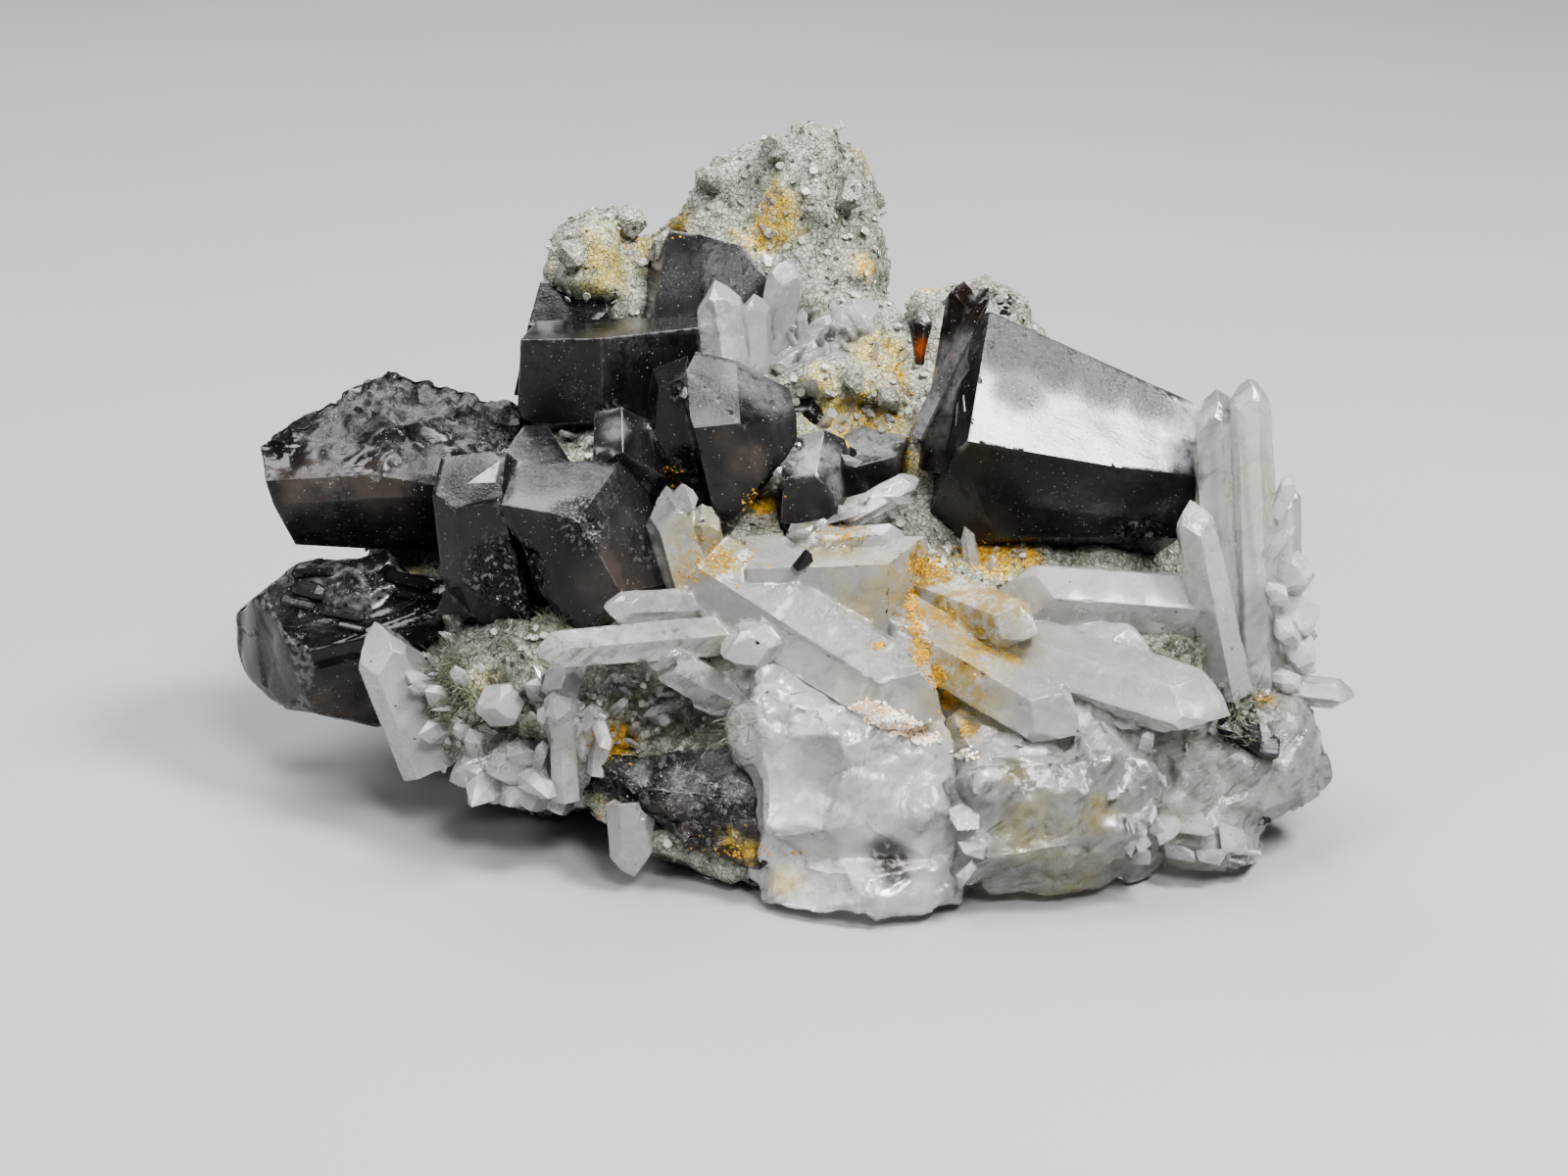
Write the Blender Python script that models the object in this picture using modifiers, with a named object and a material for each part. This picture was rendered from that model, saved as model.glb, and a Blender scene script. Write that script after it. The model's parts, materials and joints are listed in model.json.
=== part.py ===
"""Cassiterite specimen: black tin-oxide crystals and quartz prisms on a greisen matrix.

Sizes and places are in millimetres, turned into metres where a mesh is made.
+X runs along the specimen's length, +Y away from its show face and +Z up.
A direction is (azimuth, elevation) in degrees: azimuth 0 looks out of the show
face, 90 looks along +X, and elevation is above the horizontal.
"""

import math

import bmesh
import bpy
from mathutils import Matrix, Vector, noise

MM = 0.001
SOCKET_GAP = 0.3          # clearance between a crystal and whatever it is seated in
FLOOR_CLEARANCE = 0.3     # how far every crystal stays above the matrix's flat base
QUARTZ_FACE_TILT = 38.0   # elevation of a rhombohedral face's normal over the prism's side
ROCK_VOXEL = 1.3
ROCK_TRIANGLES = 2300
ROCK_ROUGHNESS = 1.3
ROCK_GRAIN = 0.16         # noise cycles per millimetre

CASSITERITE = ((0.015, 0.012, 0.011), 0.16)
BROWN_CASSITERITE = ((0.09, 0.030, 0.012), 0.25)
QUARTZ = ((0.62, 0.62, 0.58), 0.22)
MILKY_QUARTZ = ((0.80, 0.78, 0.72), 0.35)
GREISEN = ((0.40, 0.39, 0.34), 0.85)
TOURMALINE = ((0.012, 0.016, 0.015), 0.20)

# Each crystal is one or more blocks grown together. A block is a centre and its
# faces, and a face is (azimuth, elevation, distance from the centre).
CASSITERITE_CRYSTALS = {
    "cassiterite_large": [
        ((18.5, 1.5, 24.5), [
            (21, 44, 3.5), (4, -19, 6.0), (8, -18, 6.1), (-63, 37, 8.3), (-87, 11, 8.2),
            (-34, -28, 8.9), (-60, 36, 8.5), (104, -11, 6.6), (3, -53, 7.6), (158, 35, 2.3),
            (180, -5, 7.0), (-55, -80, 8.9), (180, -50, 8.0),
        ]),
    ],
    "cassiterite_front_twin": [
        ((-18.0, -4.0, 18.0), [
            (-9, 49, 6.2), (-19, 54, 6.3), (4, 2, 4.7), (-43, -2, 4.6), (-40, -35, 4.2),
            (-22, -39, 4.5), (29, 68, 6.8), (79, 11, 2.6), (180, 12, 4.4), (-42, -80, 6.4),
            (-102, -3, 2.3), (-17, 50, 6.2), (-175, 54, 4.4),
        ]),
        ((-12.0, -5.0, 18.0), [
            (-14, 74, 5.4), (63, 32, 4.4), (60, 27, 4.1), (-22, -6, 4.8), (48, -38, 4.8),
            (-110, -23, 1.8), (-42, -27, 4.8), (-176, 33, 3.5), (0, -85, 6.6), (95, 13, 4.4),
        ]),
        ((-15.6, -1.6, 19.8), [
            (10, 75, 4.1), (-12, 29, 4.8), (-101, 21, 2.7), (108, 20, 2.8), (179, 20, 3.3),
            (0, -85, 6.0), (0, -5, 5.0),
        ]),
    ],
    "cassiterite_centre": [
        ((-3.0, -2.0, 25.0), [
            (-3, 60, 3.5), (42, 54, 3.3), (5, -4, 4.1), (40, 3, 3.7), (-80, -13, 2.8),
            (-64, 32, 4.4), (104, 1, 3.3), (63, -32, 3.9), (159, 29, 2.4), (-25, -76, 5.4),
            (-100, 21, 4.1), (105, -38, 2.7),
        ]),
        ((-6.8, -1.0, 25.5), [
            (-47, 60, 3.1), (-75, 6, 1.6), (-5, 2, 2.0), (-43, -14, 2.3), (-177, 11, 0.7),
            (85, 7, 1.3), (0, -79, 3.4),
        ]),
    ],
    "cassiterite_back_block": [
        ((-11.0, 5.0, 27.0), [
            (-157, 82, 2.5), (-16, 0, 4.2), (22, 0, 3.8), (-93, 4, 5.6), (-27, -51, 5.2),
            (91, 4, 5.8), (171, 15, 5.1), (-1, -59, 4.2), (-36, -4, 5.7),
        ]),
    ],
    "cassiterite_back_pyramid": [
        ((-6.0, 15.0, 30.0), [
            (-79, 20, 2.7), (3, 38, 2.9), (-17, 36, 2.7), (103, 37, 4.0), (159, 41, 1.8),
            (6, -8, 4.4), (0, -85, 4.4),
        ]),
    ],
    "cassiterite_back_left": [
        ((-14.2, 14.0, 26.4), [
            (-8, 62, 2.3), (-18, 14, 2.8), (40, 12, 2.9), (-92, 12, 2.9), (92, 12, 2.9),
            (180, 20, 3.0), (0, -85, 3.4),
        ]),
    ],
    "cassiterite_left_large": [
        ((-25.0, 5.0, 17.0), [
            (3, 75, 7.1), (-15, 60, 6.7), (-7, 14, 6.5), (-2, 10, 6.3), (0, -28, 3.7),
            (-3, -28, 3.8), (-86, -18, 6.5), (-106, 61, 8.3), (10, 57, 6.7), (98, 6, 8.6),
            (-170, 23, 8.5), (-110, -40, 6.4), (-16, -79, 1.8),
            (-135, -4, 8.2), (150, 40, 8.0), (-140, -44, 7.4), (140, -20, 8.6),
        ]),
    ],
    "cassiterite_lower_left": [
        ((-28.0, 1.0, 9.5), [
            (-9, 50, 4.4), (-55, -4, 5.1), (4, 10, 4.9), (10, -12, 4.6), (-86, -20, 8.7),
            (-109, 51, 6.2), (108, -24, 3.1), (160, 39, 3.6), (-32, -69, 4.7), (-109, -65, 6.2),
            (-150, -16, 7.2), (125, -34, 5.2), (180, -44, 5.4),
        ]),
        ((-27.4, 0.4, 12.6), [
            (-22, 22, 2.0), (29, 25, 2.6), (-1, 69, 2.9), (-92, 23, 2.7), (84, 21, 3.4),
            (175, 27, 2.1), (0, -85, 3.0),
        ]),
    ],
    "cassiterite_chip_left": [
        ((-9.6, -3.4, 24.0), [
            (-18, 42, 1.5), (40, 38, 1.1), (-88, 4, 2.2), (0, -14, 1.5), (88, 18, 1.8),
            (180, 20, 1.4), (0, -85, 2.4),
        ]),
    ],
    "cassiterite_chip_right": [
        ((1.8, -4.0, 22.2), [
            (-25, 52, 1.7), (38, 40, 1.7), (-88, 4, 1.9), (-10, 0, 1.7), (70, 10, 1.8),
            (180, 20, 2.0), (0, -85, 2.4),
        ]),
    ],
    "cassiterite_chip_back": [
        ((1.2, 3.2, 24.4), [
            (-20, 60, 1.2), (50, 40, 1.4), (-90, 10, 1.5), (-5, 5, 1.4), (90, 0, 1.6),
            (180, 20, 1.6), (0, -85, 2.4),
        ]),
    ],
    "cassiterite_flat_plate": [
        ((5.0, 0.4, 21.9), [
            (-20, 66, 0.9), (10, -5, 1.3), (-70, 4, 2.3), (64, 2, 2.3), (150, 10, 2.2),
            (-150, 10, 2.2), (0, -85, 1.8),
        ]),
    ],
    "cassiterite_front_broken": [
        ((-6.2, -13.6, 5.2), [
            (-10, 14, 2.2), (-34, 4, 2.6), (-8, 62, 2.0), (-80, 14, 5.2), (-50, -52, 2.0),
            (60, 30, 4.6), (91, 0, 5.0), (180, 42, 2.4), (180, 0, 3.0), (0, -70, 4.0),
        ]),
    ],
}

# Quartz grows as six-sided prisms and breaks into chunks. A prism is (root, tip,
# width, thickness as a share of the width, roll in degrees about its length, tip
# width as a share of the root's). A chunk is a block like those above.
QUARTZ_CRYSTALS = {
    "quartz_blade_left": [((-22.0, -6.8, 4.2), (-25.6, -5.0, 13.4), 4.3, 0.80, 12, 0.96)],
    "quartz_button": [((-17.0, -5.6, 8.6), (-17.3, -13.6, 11.0), 2.8, 0.95, 8, 0.92)],
    "quartz_spray_front": [
        ((-4.4, -7.6, 17.6), (9.4, -16.2, 11.4), 5.2, 0.80, 28, 0.94),
        ((-3.8, -10.2, 14.4), (-14.6, -17.0, 16.0), 2.7, 0.90, 20, 0.86),
        ((-2.4, -6.8, 15.2), (-10.7, -13.0, 17.2), 2.2, 0.90, 0, 0.80),
        ((0.4, -11.2, 8.6), (-8.4, -13.2, 14.6), 3.0, 0.80, 6, 0.90),
        ((1.6, -8.8, 15.0), (-3.6, -14.4, 14.6), 3.2, 0.80, 10, 0.90),
        ((-5.0, -7.4, 15.4), (-7.2, -5.4, 22.4), 3.8, 0.80, 10, 0.80),
        ((-4.4, -6.4, 15.0), (-5.0, -6.6, 21.6), 2.4, 0.80, 30, 0.80),
        ((-1.0, -9.0, 12.0), (-5.4, -13.4, 11.0), 4.2, 0.80, 6, 0.90),
        ((2.6, -8.0, 17.0), [
            (0, 84, 2.1), (4, 9, 2.5), (58, 5, 4.3), (0, -80, 2.8), (180, 5, 2.2), (-87, 3, 5.0),
        ]),
    ],
    "quartz_spray_right": [
        ((11.6, -8.2, 13.6), (26.6, -15.2, 11.2), 5.0, 0.72, 8, 0.92),
        ((7.0, -8.6, 14.4), (17.6, -16.2, 10.4), 4.4, 0.85, 18, 0.90),
        ((9.0, -6.4, 15.8), (15.2, -13.2, 15.6), 3.3, 0.90, 26, 0.92),
        ((26.4, -5.8, 14.6), (13.0, -7.8, 16.4), 4.3, 0.85, 14, 0.95),
        ((20.0, -8.0, 8.4), (28.8, -12.8, 8.8), 4.6, 0.80, 12, 0.90),
        ((12.4, -6.4, 13.0), (22.4, -10.4, 13.4), 3.4, 0.80, 20, 0.90),
    ],
    "quartz_spires": [
        ((30.2, -6.0, 6.6), (28.4, -4.0, 28.9), 2.9, 0.85, 6, 0.80),
        ((28.4, -4.8, 9.0), (26.6, -2.6, 27.8), 4.2, 0.70, 0, 0.72),
        ((31.6, -4.2, 8.2), (31.0, -4.0, 22.3), 2.5, 0.85, 18, 0.78),
        ((27.6, -7.6, 9.6), (24.7, -7.2, 22.1), 3.3, 0.85, 10, 0.72),
        ((29.4, -1.8, 13.8), (33.6, -2.0, 15.4), 1.9, 0.95, 0, 0.80),
        ((29.4, -2.8, 11.8), (33.8, -3.0, 11.6), 2.2, 0.95, 20, 0.80),
        ((29.4, -2.4, 13.0), (33.2, -4.0, 13.2), 1.9, 0.95, 10, 0.80),
        ((29.4, -3.4, 10.2), (33.5, -4.6, 9.8), 2.0, 0.95, 10, 0.80),
        ((28.8, -3.0, 12.0), (31.6, 1.6, 12.6), 2.4, 0.95, 10, 0.80),
        ((28.6, -5.4, 9.4), (35.6, -7.0, 9.1), 1.9, 0.90, 0, 0.95),
    ],
    "quartz_druse_left": [
        ((-15.4, -8.2, 6.8), (-17.6, -13.4, 6.4), 2.6, 0.90, 12, 0.85),
        ((-15.8, -8.4, 6.6), (-20.6, -11.2, 5.2), 2.4, 0.90, 0, 0.85),
        ((-15.0, -8.4, 6.2), (-15.4, -13.6, 4.2), 2.6, 0.90, 0, 0.85),
        ((-16.2, -7.6, 6.6), (-19.4, -10.8, 8.2), 2.2, 0.90, 22, 0.85),
        ((-16.0, -8.2, 6.0), (-18.4, -11.8, 4.0), 2.4, 0.90, 4, 0.85),
        ((-14.4, -8.2, 5.8), (-13.6, -12.8, 3.6), 2.2, 0.90, 4, 0.85),
        ((-12.8, -10.0, 3.8), (-13.4, -13.4, 11.5), 2.4, 0.90, 0, 0.95),
        ((-11.6, -9.8, 4.2), (-11.7, -12.9, 10.9), 1.9, 0.90, 14, 0.90),
    ],
    "quartz_front_knob": [((-13.6, -7.2, 10.8), (-13.3, -14.4, 12.6), 2.4, 0.95, 10, 0.90)],
    "quartz_hanging": [((-9.4, -14.4, 5.2), (-9.1, -15.9, 0.9), 2.5, 0.80, 0, 0.90)],
    "quartz_blunts_back": [
        ((-3.4, 4.6, 26.4), (-4.4, 7.0, 32.2), 3.0, 0.90, 0, 0.86),
        ((-1.8, 5.4, 26.4), (-1.9, 6.6, 31.4), 2.1, 0.90, 10, 0.84),
        ((-0.8, 8.0, 26.4), (0.3, 9.2, 33.1), 2.6, 0.90, 0, 0.82),
        ((-1.6, 6.8, 25.4), (6.2, 10.4, 29.8), 3.0, 0.75, 10, 0.90),
        ((-1.0, 5.6, 25.2), (4.6, 6.8, 27.4), 2.2, 0.80, 0, 0.85),
    ],
    "quartz_sprig": [
        ((0.6, -6.4, 19.0), (8.4, -2.8, 22.0), 1.9, 0.85, 0, 0.80),
        ((0.8, -6.8, 18.8), (7.6, -6.6, 19.4), 2.2, 0.85, 16, 0.85),
    ],
    "quartz_bluff": [
        ((4.0, -13.5, 6.5), [
            (-12, 24, 4.5), (-71, 7, 6.0), (16, 20, 4.7), (14, 62, 5.2), (48, 42, 5.9),
            (98, 10, 6.2), (-2, -14, 5.4), (180, 0, 5.0), (0, -84, 5.6),
        ]),
        ((4.6, -16.2, 1.6), [
            (-22, 28, 3.9), (14, 26, 4.1), (-78, 12, 5.6), (76, 14, 5.8), (0, -52, 3.6),
            (180, 0, 5.0), (0, 82, 1.9), (0, -86, 1.2),
        ]),
        ((-0.4, -12.6, 5.6), (-1.8, -15.4, 12.8), 4.4, 0.80, 8, 0.90),
        ((3.6, -13.0, 6.0), (2.6, -17.4, 11.4), 4.0, 0.80, 22, 0.90),
        ((6.0, -14.0, 5.0), (9.4, -19.0, 7.0), 3.2, 0.90, 22, 0.90),
    ],
    "quartz_boulder": [
        ((16.4, -14.6, 4.8), [
            (-6, 26, 4.5), (-62, 15, 6.6), (24, 22, 4.8), (-4, 65, 5.2), (86, 9, 6.0),
            (4, -27, 4.6), (36, -28, 4.8), (180, 0, 5.0), (0, -84, 4.4), (56, 50, 6.0),
        ]),
        ((13.4, -14.0, 4.4), (10.6, -18.6, 8.8), 4.0, 0.85, 10, 0.90),
        ((18.6, -13.6, 5.0), (22.0, -17.4, 8.4), 4.4, 0.85, 24, 0.90),
        ((16.0, -14.0, 3.4), (16.6, -18.9, 3.2), 4.6, 0.85, 0, 0.90),
    ],
    "quartz_corner": [
        ((28.8, -8.6, 5.0), [
            (-12, 20, 4.2), (25, 16, 3.8), (7, 60, 3.8), (88, 20, 4.7), (-10, -30, 4.4),
            (32, -31, 4.0), (-85, 2, 5.2), (180, 4, 4.4), (0, -84, 3.6), (58, 45, 4.5),
            (132, -14, 4.4), (-140, -20, 4.6), (62, -40, 4.0),
        ]),
        ((24.8, -11.6, 2.6), [
            (-20, 40, 2.9), (18, 32, 3.1), (-80, 20, 4.4), (78, 18, 3.9), (-10, -34, 3.2),
            (180, 0, 4.6), (0, -84, 2.1), (0, 62, 2.2),
        ]),
    ],
}

THIN_CRYSTALS = {
    "cassiterite_blades": [
        ((9.4, -1.2, 22.0), (11.1, 0.0, 33.9), 2.0, 0.50, 20, 0.90),
        ((8.2, -2.2, 24.6), (12.6, -0.8, 33.7), 1.3, 0.55, 0, 0.90),
    ],
    "cassiterite_brown_wedge": [((8.4, 1.2, 28.2), (8.6, 2.0, 31.6), 1.0, 0.70, 0, 1.80)],
    "tourmaline_stub": [((26.8, -7.6, 8.2), (30.0, -13.2, 7.8), 1.7, 0.90, 0, 0.95)],
}

# The greisen is a heap of lumps fused to one rock: (centre, half sizes).
ROCK_LUMPS = [
    ((1.0, 4.0, 9.0), (27.0, 15.5, 10.5)),
    ((20.0, -3.0, 7.0), (12.0, 9.5, 8.4)),
    ((6.0, -9.5, 5.0), (16.0, 8.6, 8.0)),
    ((-13.0, -3.0, 8.0), (11.0, 8.6, 8.4)),
    ((-1.0, 1.0, 14.0), (16.0, 8.4, 7.8)),
    ((2.0, 8.0, 19.0), (16.0, 9.6, 8.8)),
    ((-9.0, 5.0, 18.0), (11.0, 8.6, 7.6)),
    ((19.0, 6.6, 14.0), (11.0, 7.0, 7.0)),
    ((12.4, 10.6, 24.0), (7.0, 5.0, 7.4)),
    ((0.0, 17.0, 12.0), (18.0, 8.6, 11.0)),
    ((-1.0, 18.0, 25.0), (9.6, 6.6, 8.0)),
    ((0.4, 20.4, 32.6), (7.0, 6.0, 6.8)),
    ((-4.4, 19.4, 31.0), (4.2, 4.6, 5.6)),
    ((-12.2, 17.4, 27.4), (4.8, 5.0, 6.6)),
    ((-20.0, 8.0, 11.0), (9.0, 8.0, 7.0)),
    ((30.2, -10.4, 3.2), (3.8, 2.8, 2.2)),
    ((-6.6, -11.8, 3.4), (5.4, 3.2, 2.8)),
]


def direction(azimuth, elevation):
    """The unit vector of an azimuth and an elevation in degrees."""
    a, e = math.radians(azimuth), math.radians(elevation)
    return Vector((math.sin(a) * math.cos(e), -math.cos(a) * math.cos(e), math.sin(e)))


def trim(bm, point, normal):
    """Cuts away what lies beyond a plane and closes the cut with one flat face."""
    geometry = bm.verts[:] + bm.edges[:] + bm.faces[:]
    cut = bmesh.ops.bisect_plane(
        bm, geom=geometry, plane_co=point, plane_no=normal, clear_outer=True, dist=1e-6
    )
    rim = [e for e in cut["geom_cut"] if isinstance(e, bmesh.types.BMEdge)]
    if rim:
        bmesh.ops.contextual_create(bm, geom=rim)


def faceted_block(block, grow):
    """A block cut down to its crystal faces, each moved outward by grow."""
    centre, faces = block
    reach = 4 * max(distance for _, _, distance in faces)
    bm = bmesh.new()
    bmesh.ops.create_cube(bm, size=reach)
    for azimuth, elevation, distance in faces:
        outward = direction(azimuth, elevation)
        trim(bm, outward * (distance + grow), outward)
    bmesh.ops.translate(bm, verts=bm.verts, vec=Vector(centre))
    return bm


def quartz_prism(prism, grow):
    """A six-sided prism closed by three large and three small rhombohedral faces."""
    root, tip, width, thickness, roll, taper = prism
    root, tip = Vector(root), Vector(tip)
    length = (tip - root).length
    across_corners = (width / 2 + grow) / math.cos(math.radians(30))
    bm = bmesh.new()
    bmesh.ops.create_cone(
        bm, cap_ends=True, segments=6, radius1=across_corners,
        radius2=across_corners * taper, depth=length + 2 * grow + width,
    )
    bmesh.ops.translate(bm, verts=bm.verts, vec=(0, 0, (length + width) / 2))
    bmesh.ops.rotate(bm, verts=bm.verts, matrix=Matrix.Rotation(math.radians(30), 3, "Z"))
    for side in range(6):
        outward = direction(60 * side + 90, QUARTZ_FACE_TILT)
        apex_rise = 0.0 if side % 2 == 0 else 0.16 * width
        trim(bm, Vector((0, 0, length + apex_rise + grow * 1.6)), outward)
    bmesh.ops.scale(bm, verts=bm.verts, vec=(1, thickness, 1))
    turn = (tip - root).to_track_quat("Z", "Y").to_matrix().to_4x4()
    place = Matrix.Translation(root) @ turn @ Matrix.Rotation(math.radians(roll), 4, "Z")
    bmesh.ops.transform(bm, verts=bm.verts, matrix=place)
    return bm


def material_of(name, finish):
    colour, roughness = finish
    material = bpy.data.materials.new(name)
    material.use_nodes = True
    shader = material.node_tree.nodes["Principled BSDF"]
    shader.inputs["Base Color"].default_value = (*colour, 1.0)
    shader.inputs["Roughness"].default_value = roughness
    material.diffuse_color = (*colour, 1.0)
    return material


def add_object(name, bm, collection):
    """Turns a mesh being edited, in millimetres, into an object in metres."""
    bmesh.ops.scale(bm, verts=bm.verts, vec=(MM, MM, MM))
    bmesh.ops.recalc_face_normals(bm, faces=bm.faces)
    mesh = bpy.data.meshes.new(name)
    bm.to_mesh(mesh)
    bm.free()
    obj = bpy.data.objects.new(name, mesh)
    collection.objects.link(obj)
    return obj


def new_collection(name, parent):
    collection = bpy.data.collections.new(name)
    parent.children.link(collection)
    return collection


def bounds_of(obj):
    corners = [obj.matrix_world @ Vector(corner) for corner in obj.bound_box]
    low = Vector(min(c[i] for c in corners) for i in range(3))
    high = Vector(max(c[i] for c in corners) for i in range(3))
    return low, high


def boxes_meet(a, b):
    low_a, high_a = bounds_of(a)
    low_b, high_b = bounds_of(b)
    return all(low_a[i] < high_b[i] and low_b[i] < high_a[i] for i in range(3))


def combine(obj, others, operation):
    """One exact Boolean of the object with several others, applied to its mesh."""
    if not others:
        return
    operands = bpy.data.collections.new("operands")
    for other in others:
        operands.objects.link(other)
    modifier = obj.modifiers.new(operation.lower(), "BOOLEAN")
    modifier.operation = operation
    modifier.operand_type = "COLLECTION"
    modifier.collection = operands
    modifier.solver = "EXACT"
    apply_modifiers(obj)
    bpy.data.collections.remove(operands)


def apply_modifiers(obj):
    graph = bpy.context.evaluated_depsgraph_get()
    mesh = bpy.data.meshes.new_from_object(obj.evaluated_get(graph))
    obj.modifiers.clear()
    obj.data = mesh


def keep_largest_body(obj):
    """Drops the crumbs that a cut may leave loose beside the main body."""
    bm = bmesh.new()
    bm.from_mesh(obj.data)
    bmesh.ops.remove_doubles(bm, verts=bm.verts, dist=0.002 * MM)
    bmesh.ops.dissolve_degenerate(bm, edges=bm.edges, dist=0.002 * MM)
    unseen = set(bm.verts)
    bodies = []
    while unseen:
        front = [unseen.pop()]
        body = set(front)
        while front:
            here = front.pop()
            reached = {e.other_vert(here) for e in here.link_edges} & unseen
            unseen -= reached
            body |= reached
            front.extend(reached)
        bodies.append(body)
    largest = max(bodies, key=len)
    crumbs = [v for v in bm.verts if v not in largest]
    bmesh.ops.delete(bm, geom=crumbs, context="VERTS")
    bm.to_mesh(obj.data)
    bm.free()


def floor_cutter(collection, height):
    """A wide block whose top lies at the given height, to cut a flat base with."""
    bm = bmesh.new()
    bmesh.ops.create_cube(bm, size=120)
    bmesh.ops.translate(bm, verts=bm.verts, vec=(0, 0, height - 60))
    return add_object("floor_cutter", bm, collection)


def rock(collection):
    """The greisen: lumps fused by a voxel remesh, roughened and thinned to facets."""
    bm = bmesh.new()
    for centre, half_sizes in ROCK_LUMPS:
        place = Matrix.Translation(centre) @ Matrix.Diagonal((*half_sizes, 1))
        bmesh.ops.create_icosphere(bm, subdivisions=3, radius=1, matrix=place)
    obj = add_object("matrix", bm, collection)
    fuse = obj.modifiers.new("fuse", "REMESH")
    fuse.mode = "VOXEL"
    fuse.voxel_size = ROCK_VOXEL * MM
    apply_modifiers(obj)
    for vertex in obj.data.vertices:
        place = vertex.co / MM * ROCK_GRAIN
        coarse = noise.noise(place)
        ledges = noise.cell(place * 1.7) - 0.5
        fine = noise.noise(place * 3.1)
        shift = ROCK_ROUGHNESS * (1.3 * coarse + 0.8 * ledges + 0.5 * fine)
        vertex.co += vertex.normal * shift * MM
    triangulate = obj.modifiers.new("triangulate", "TRIANGULATE")
    triangulate.min_vertices = 4
    thin = obj.modifiers.new("thin", "DECIMATE")
    thin.ratio = ROCK_TRIANGLES / (2 * len(obj.data.polygons))
    apply_modifiers(obj)
    return obj


def individual(shape, grow):
    """One crystal: a block is (centre, faces), and anything longer is a prism."""
    return faceted_block(shape, grow) if len(shape) == 2 else quartz_prism(shape, grow)


def build_group(name, shapes, collection, cutters):
    """Crystals grown together as one solid, and the grown copies that cut its sockets."""
    group = add_object(name, individual(shapes[0], 0.0), collection)
    others = [add_object("joined", individual(shape, 0.0), cutters) for shape in shapes[1:]]
    combine(group, others, "UNION")
    for other in others:
        bpy.data.objects.remove(other)
    sockets = [add_object("socket", individual(shape, SOCKET_GAP), cutters) for shape in shapes]
    return group, sockets


def crystal_plan():
    """Every group in growth order as (name, shapes, finish). Later ones give way."""
    plan = [(name, shapes, CASSITERITE) for name, shapes in CASSITERITE_CRYSTALS.items()]
    for name, shapes in THIN_CRYSTALS.items():
        plan.append((name, shapes, TOURMALINE if "tourmaline" in name else BROWN_CASSITERITE))
    for name, shapes in QUARTZ_CRYSTALS.items():
        milky = "left" in name or "bluff" in name
        plan.append((name, shapes, MILKY_QUARTZ if milky else QUARTZ))
    return plan


def stand_on_origin(pieces):
    """Moves the whole specimen so that its base's centre is the origin."""
    corners = [corner for piece in pieces for corner in bounds_of(piece)]
    low = Vector(min(c[i] for c in corners) for i in range(3))
    high = Vector(max(c[i] for c in corners) for i in range(3))
    shift = Vector((-(low.x + high.x) / 2, -(low.y + high.y) / 2, -low.z))
    for piece in pieces:
        piece.data.transform(Matrix.Translation(shift))
    return shift


def main():
    for obj in list(bpy.data.objects):
        bpy.data.objects.remove(obj)
    specimen = new_collection("cassiterite specimen", bpy.context.scene.collection)
    cutters = new_collection("cutters", bpy.context.scene.collection)

    pieces = []
    seated = []
    floor = floor_cutter(cutters, FLOOR_CLEARANCE)
    for name, shapes, finish in crystal_plan():
        crystal, sockets = build_group(name, shapes, specimen, cutters)
        combine(crystal, [s for s in seated + [floor] if boxes_meet(crystal, s)], "DIFFERENCE")
        keep_largest_body(crystal)
        crystal.data.materials.clear()
        crystal.data.materials.append(material_of(name, finish))
        seated += sockets
        pieces.append(crystal)

    matrix = rock(specimen)
    base = floor_cutter(cutters, 0.0)
    combine(matrix, [base], "DIFFERENCE")
    combine(matrix, [s for s in seated if boxes_meet(matrix, s)], "DIFFERENCE")
    keep_largest_body(matrix)
    matrix.data.materials.clear()
    matrix.data.materials.append(material_of("greisen", GREISEN))
    pieces.append(matrix)

    for cutter in list(cutters.objects):
        bpy.data.objects.remove(cutter)
    bpy.data.collections.remove(cutters)
    stand_on_origin(pieces)


main()
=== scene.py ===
"""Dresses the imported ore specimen: black growth faces, frosted quartz, grainy rock and ochre crusts."""

import json
import math

import bmesh
import bpy
import numpy as np
from bpy.props import FloatProperty, FloatVectorProperty, IntProperty, PointerProperty
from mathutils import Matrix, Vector, noise
from mathutils.bvhtree import BVHTree

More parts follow.
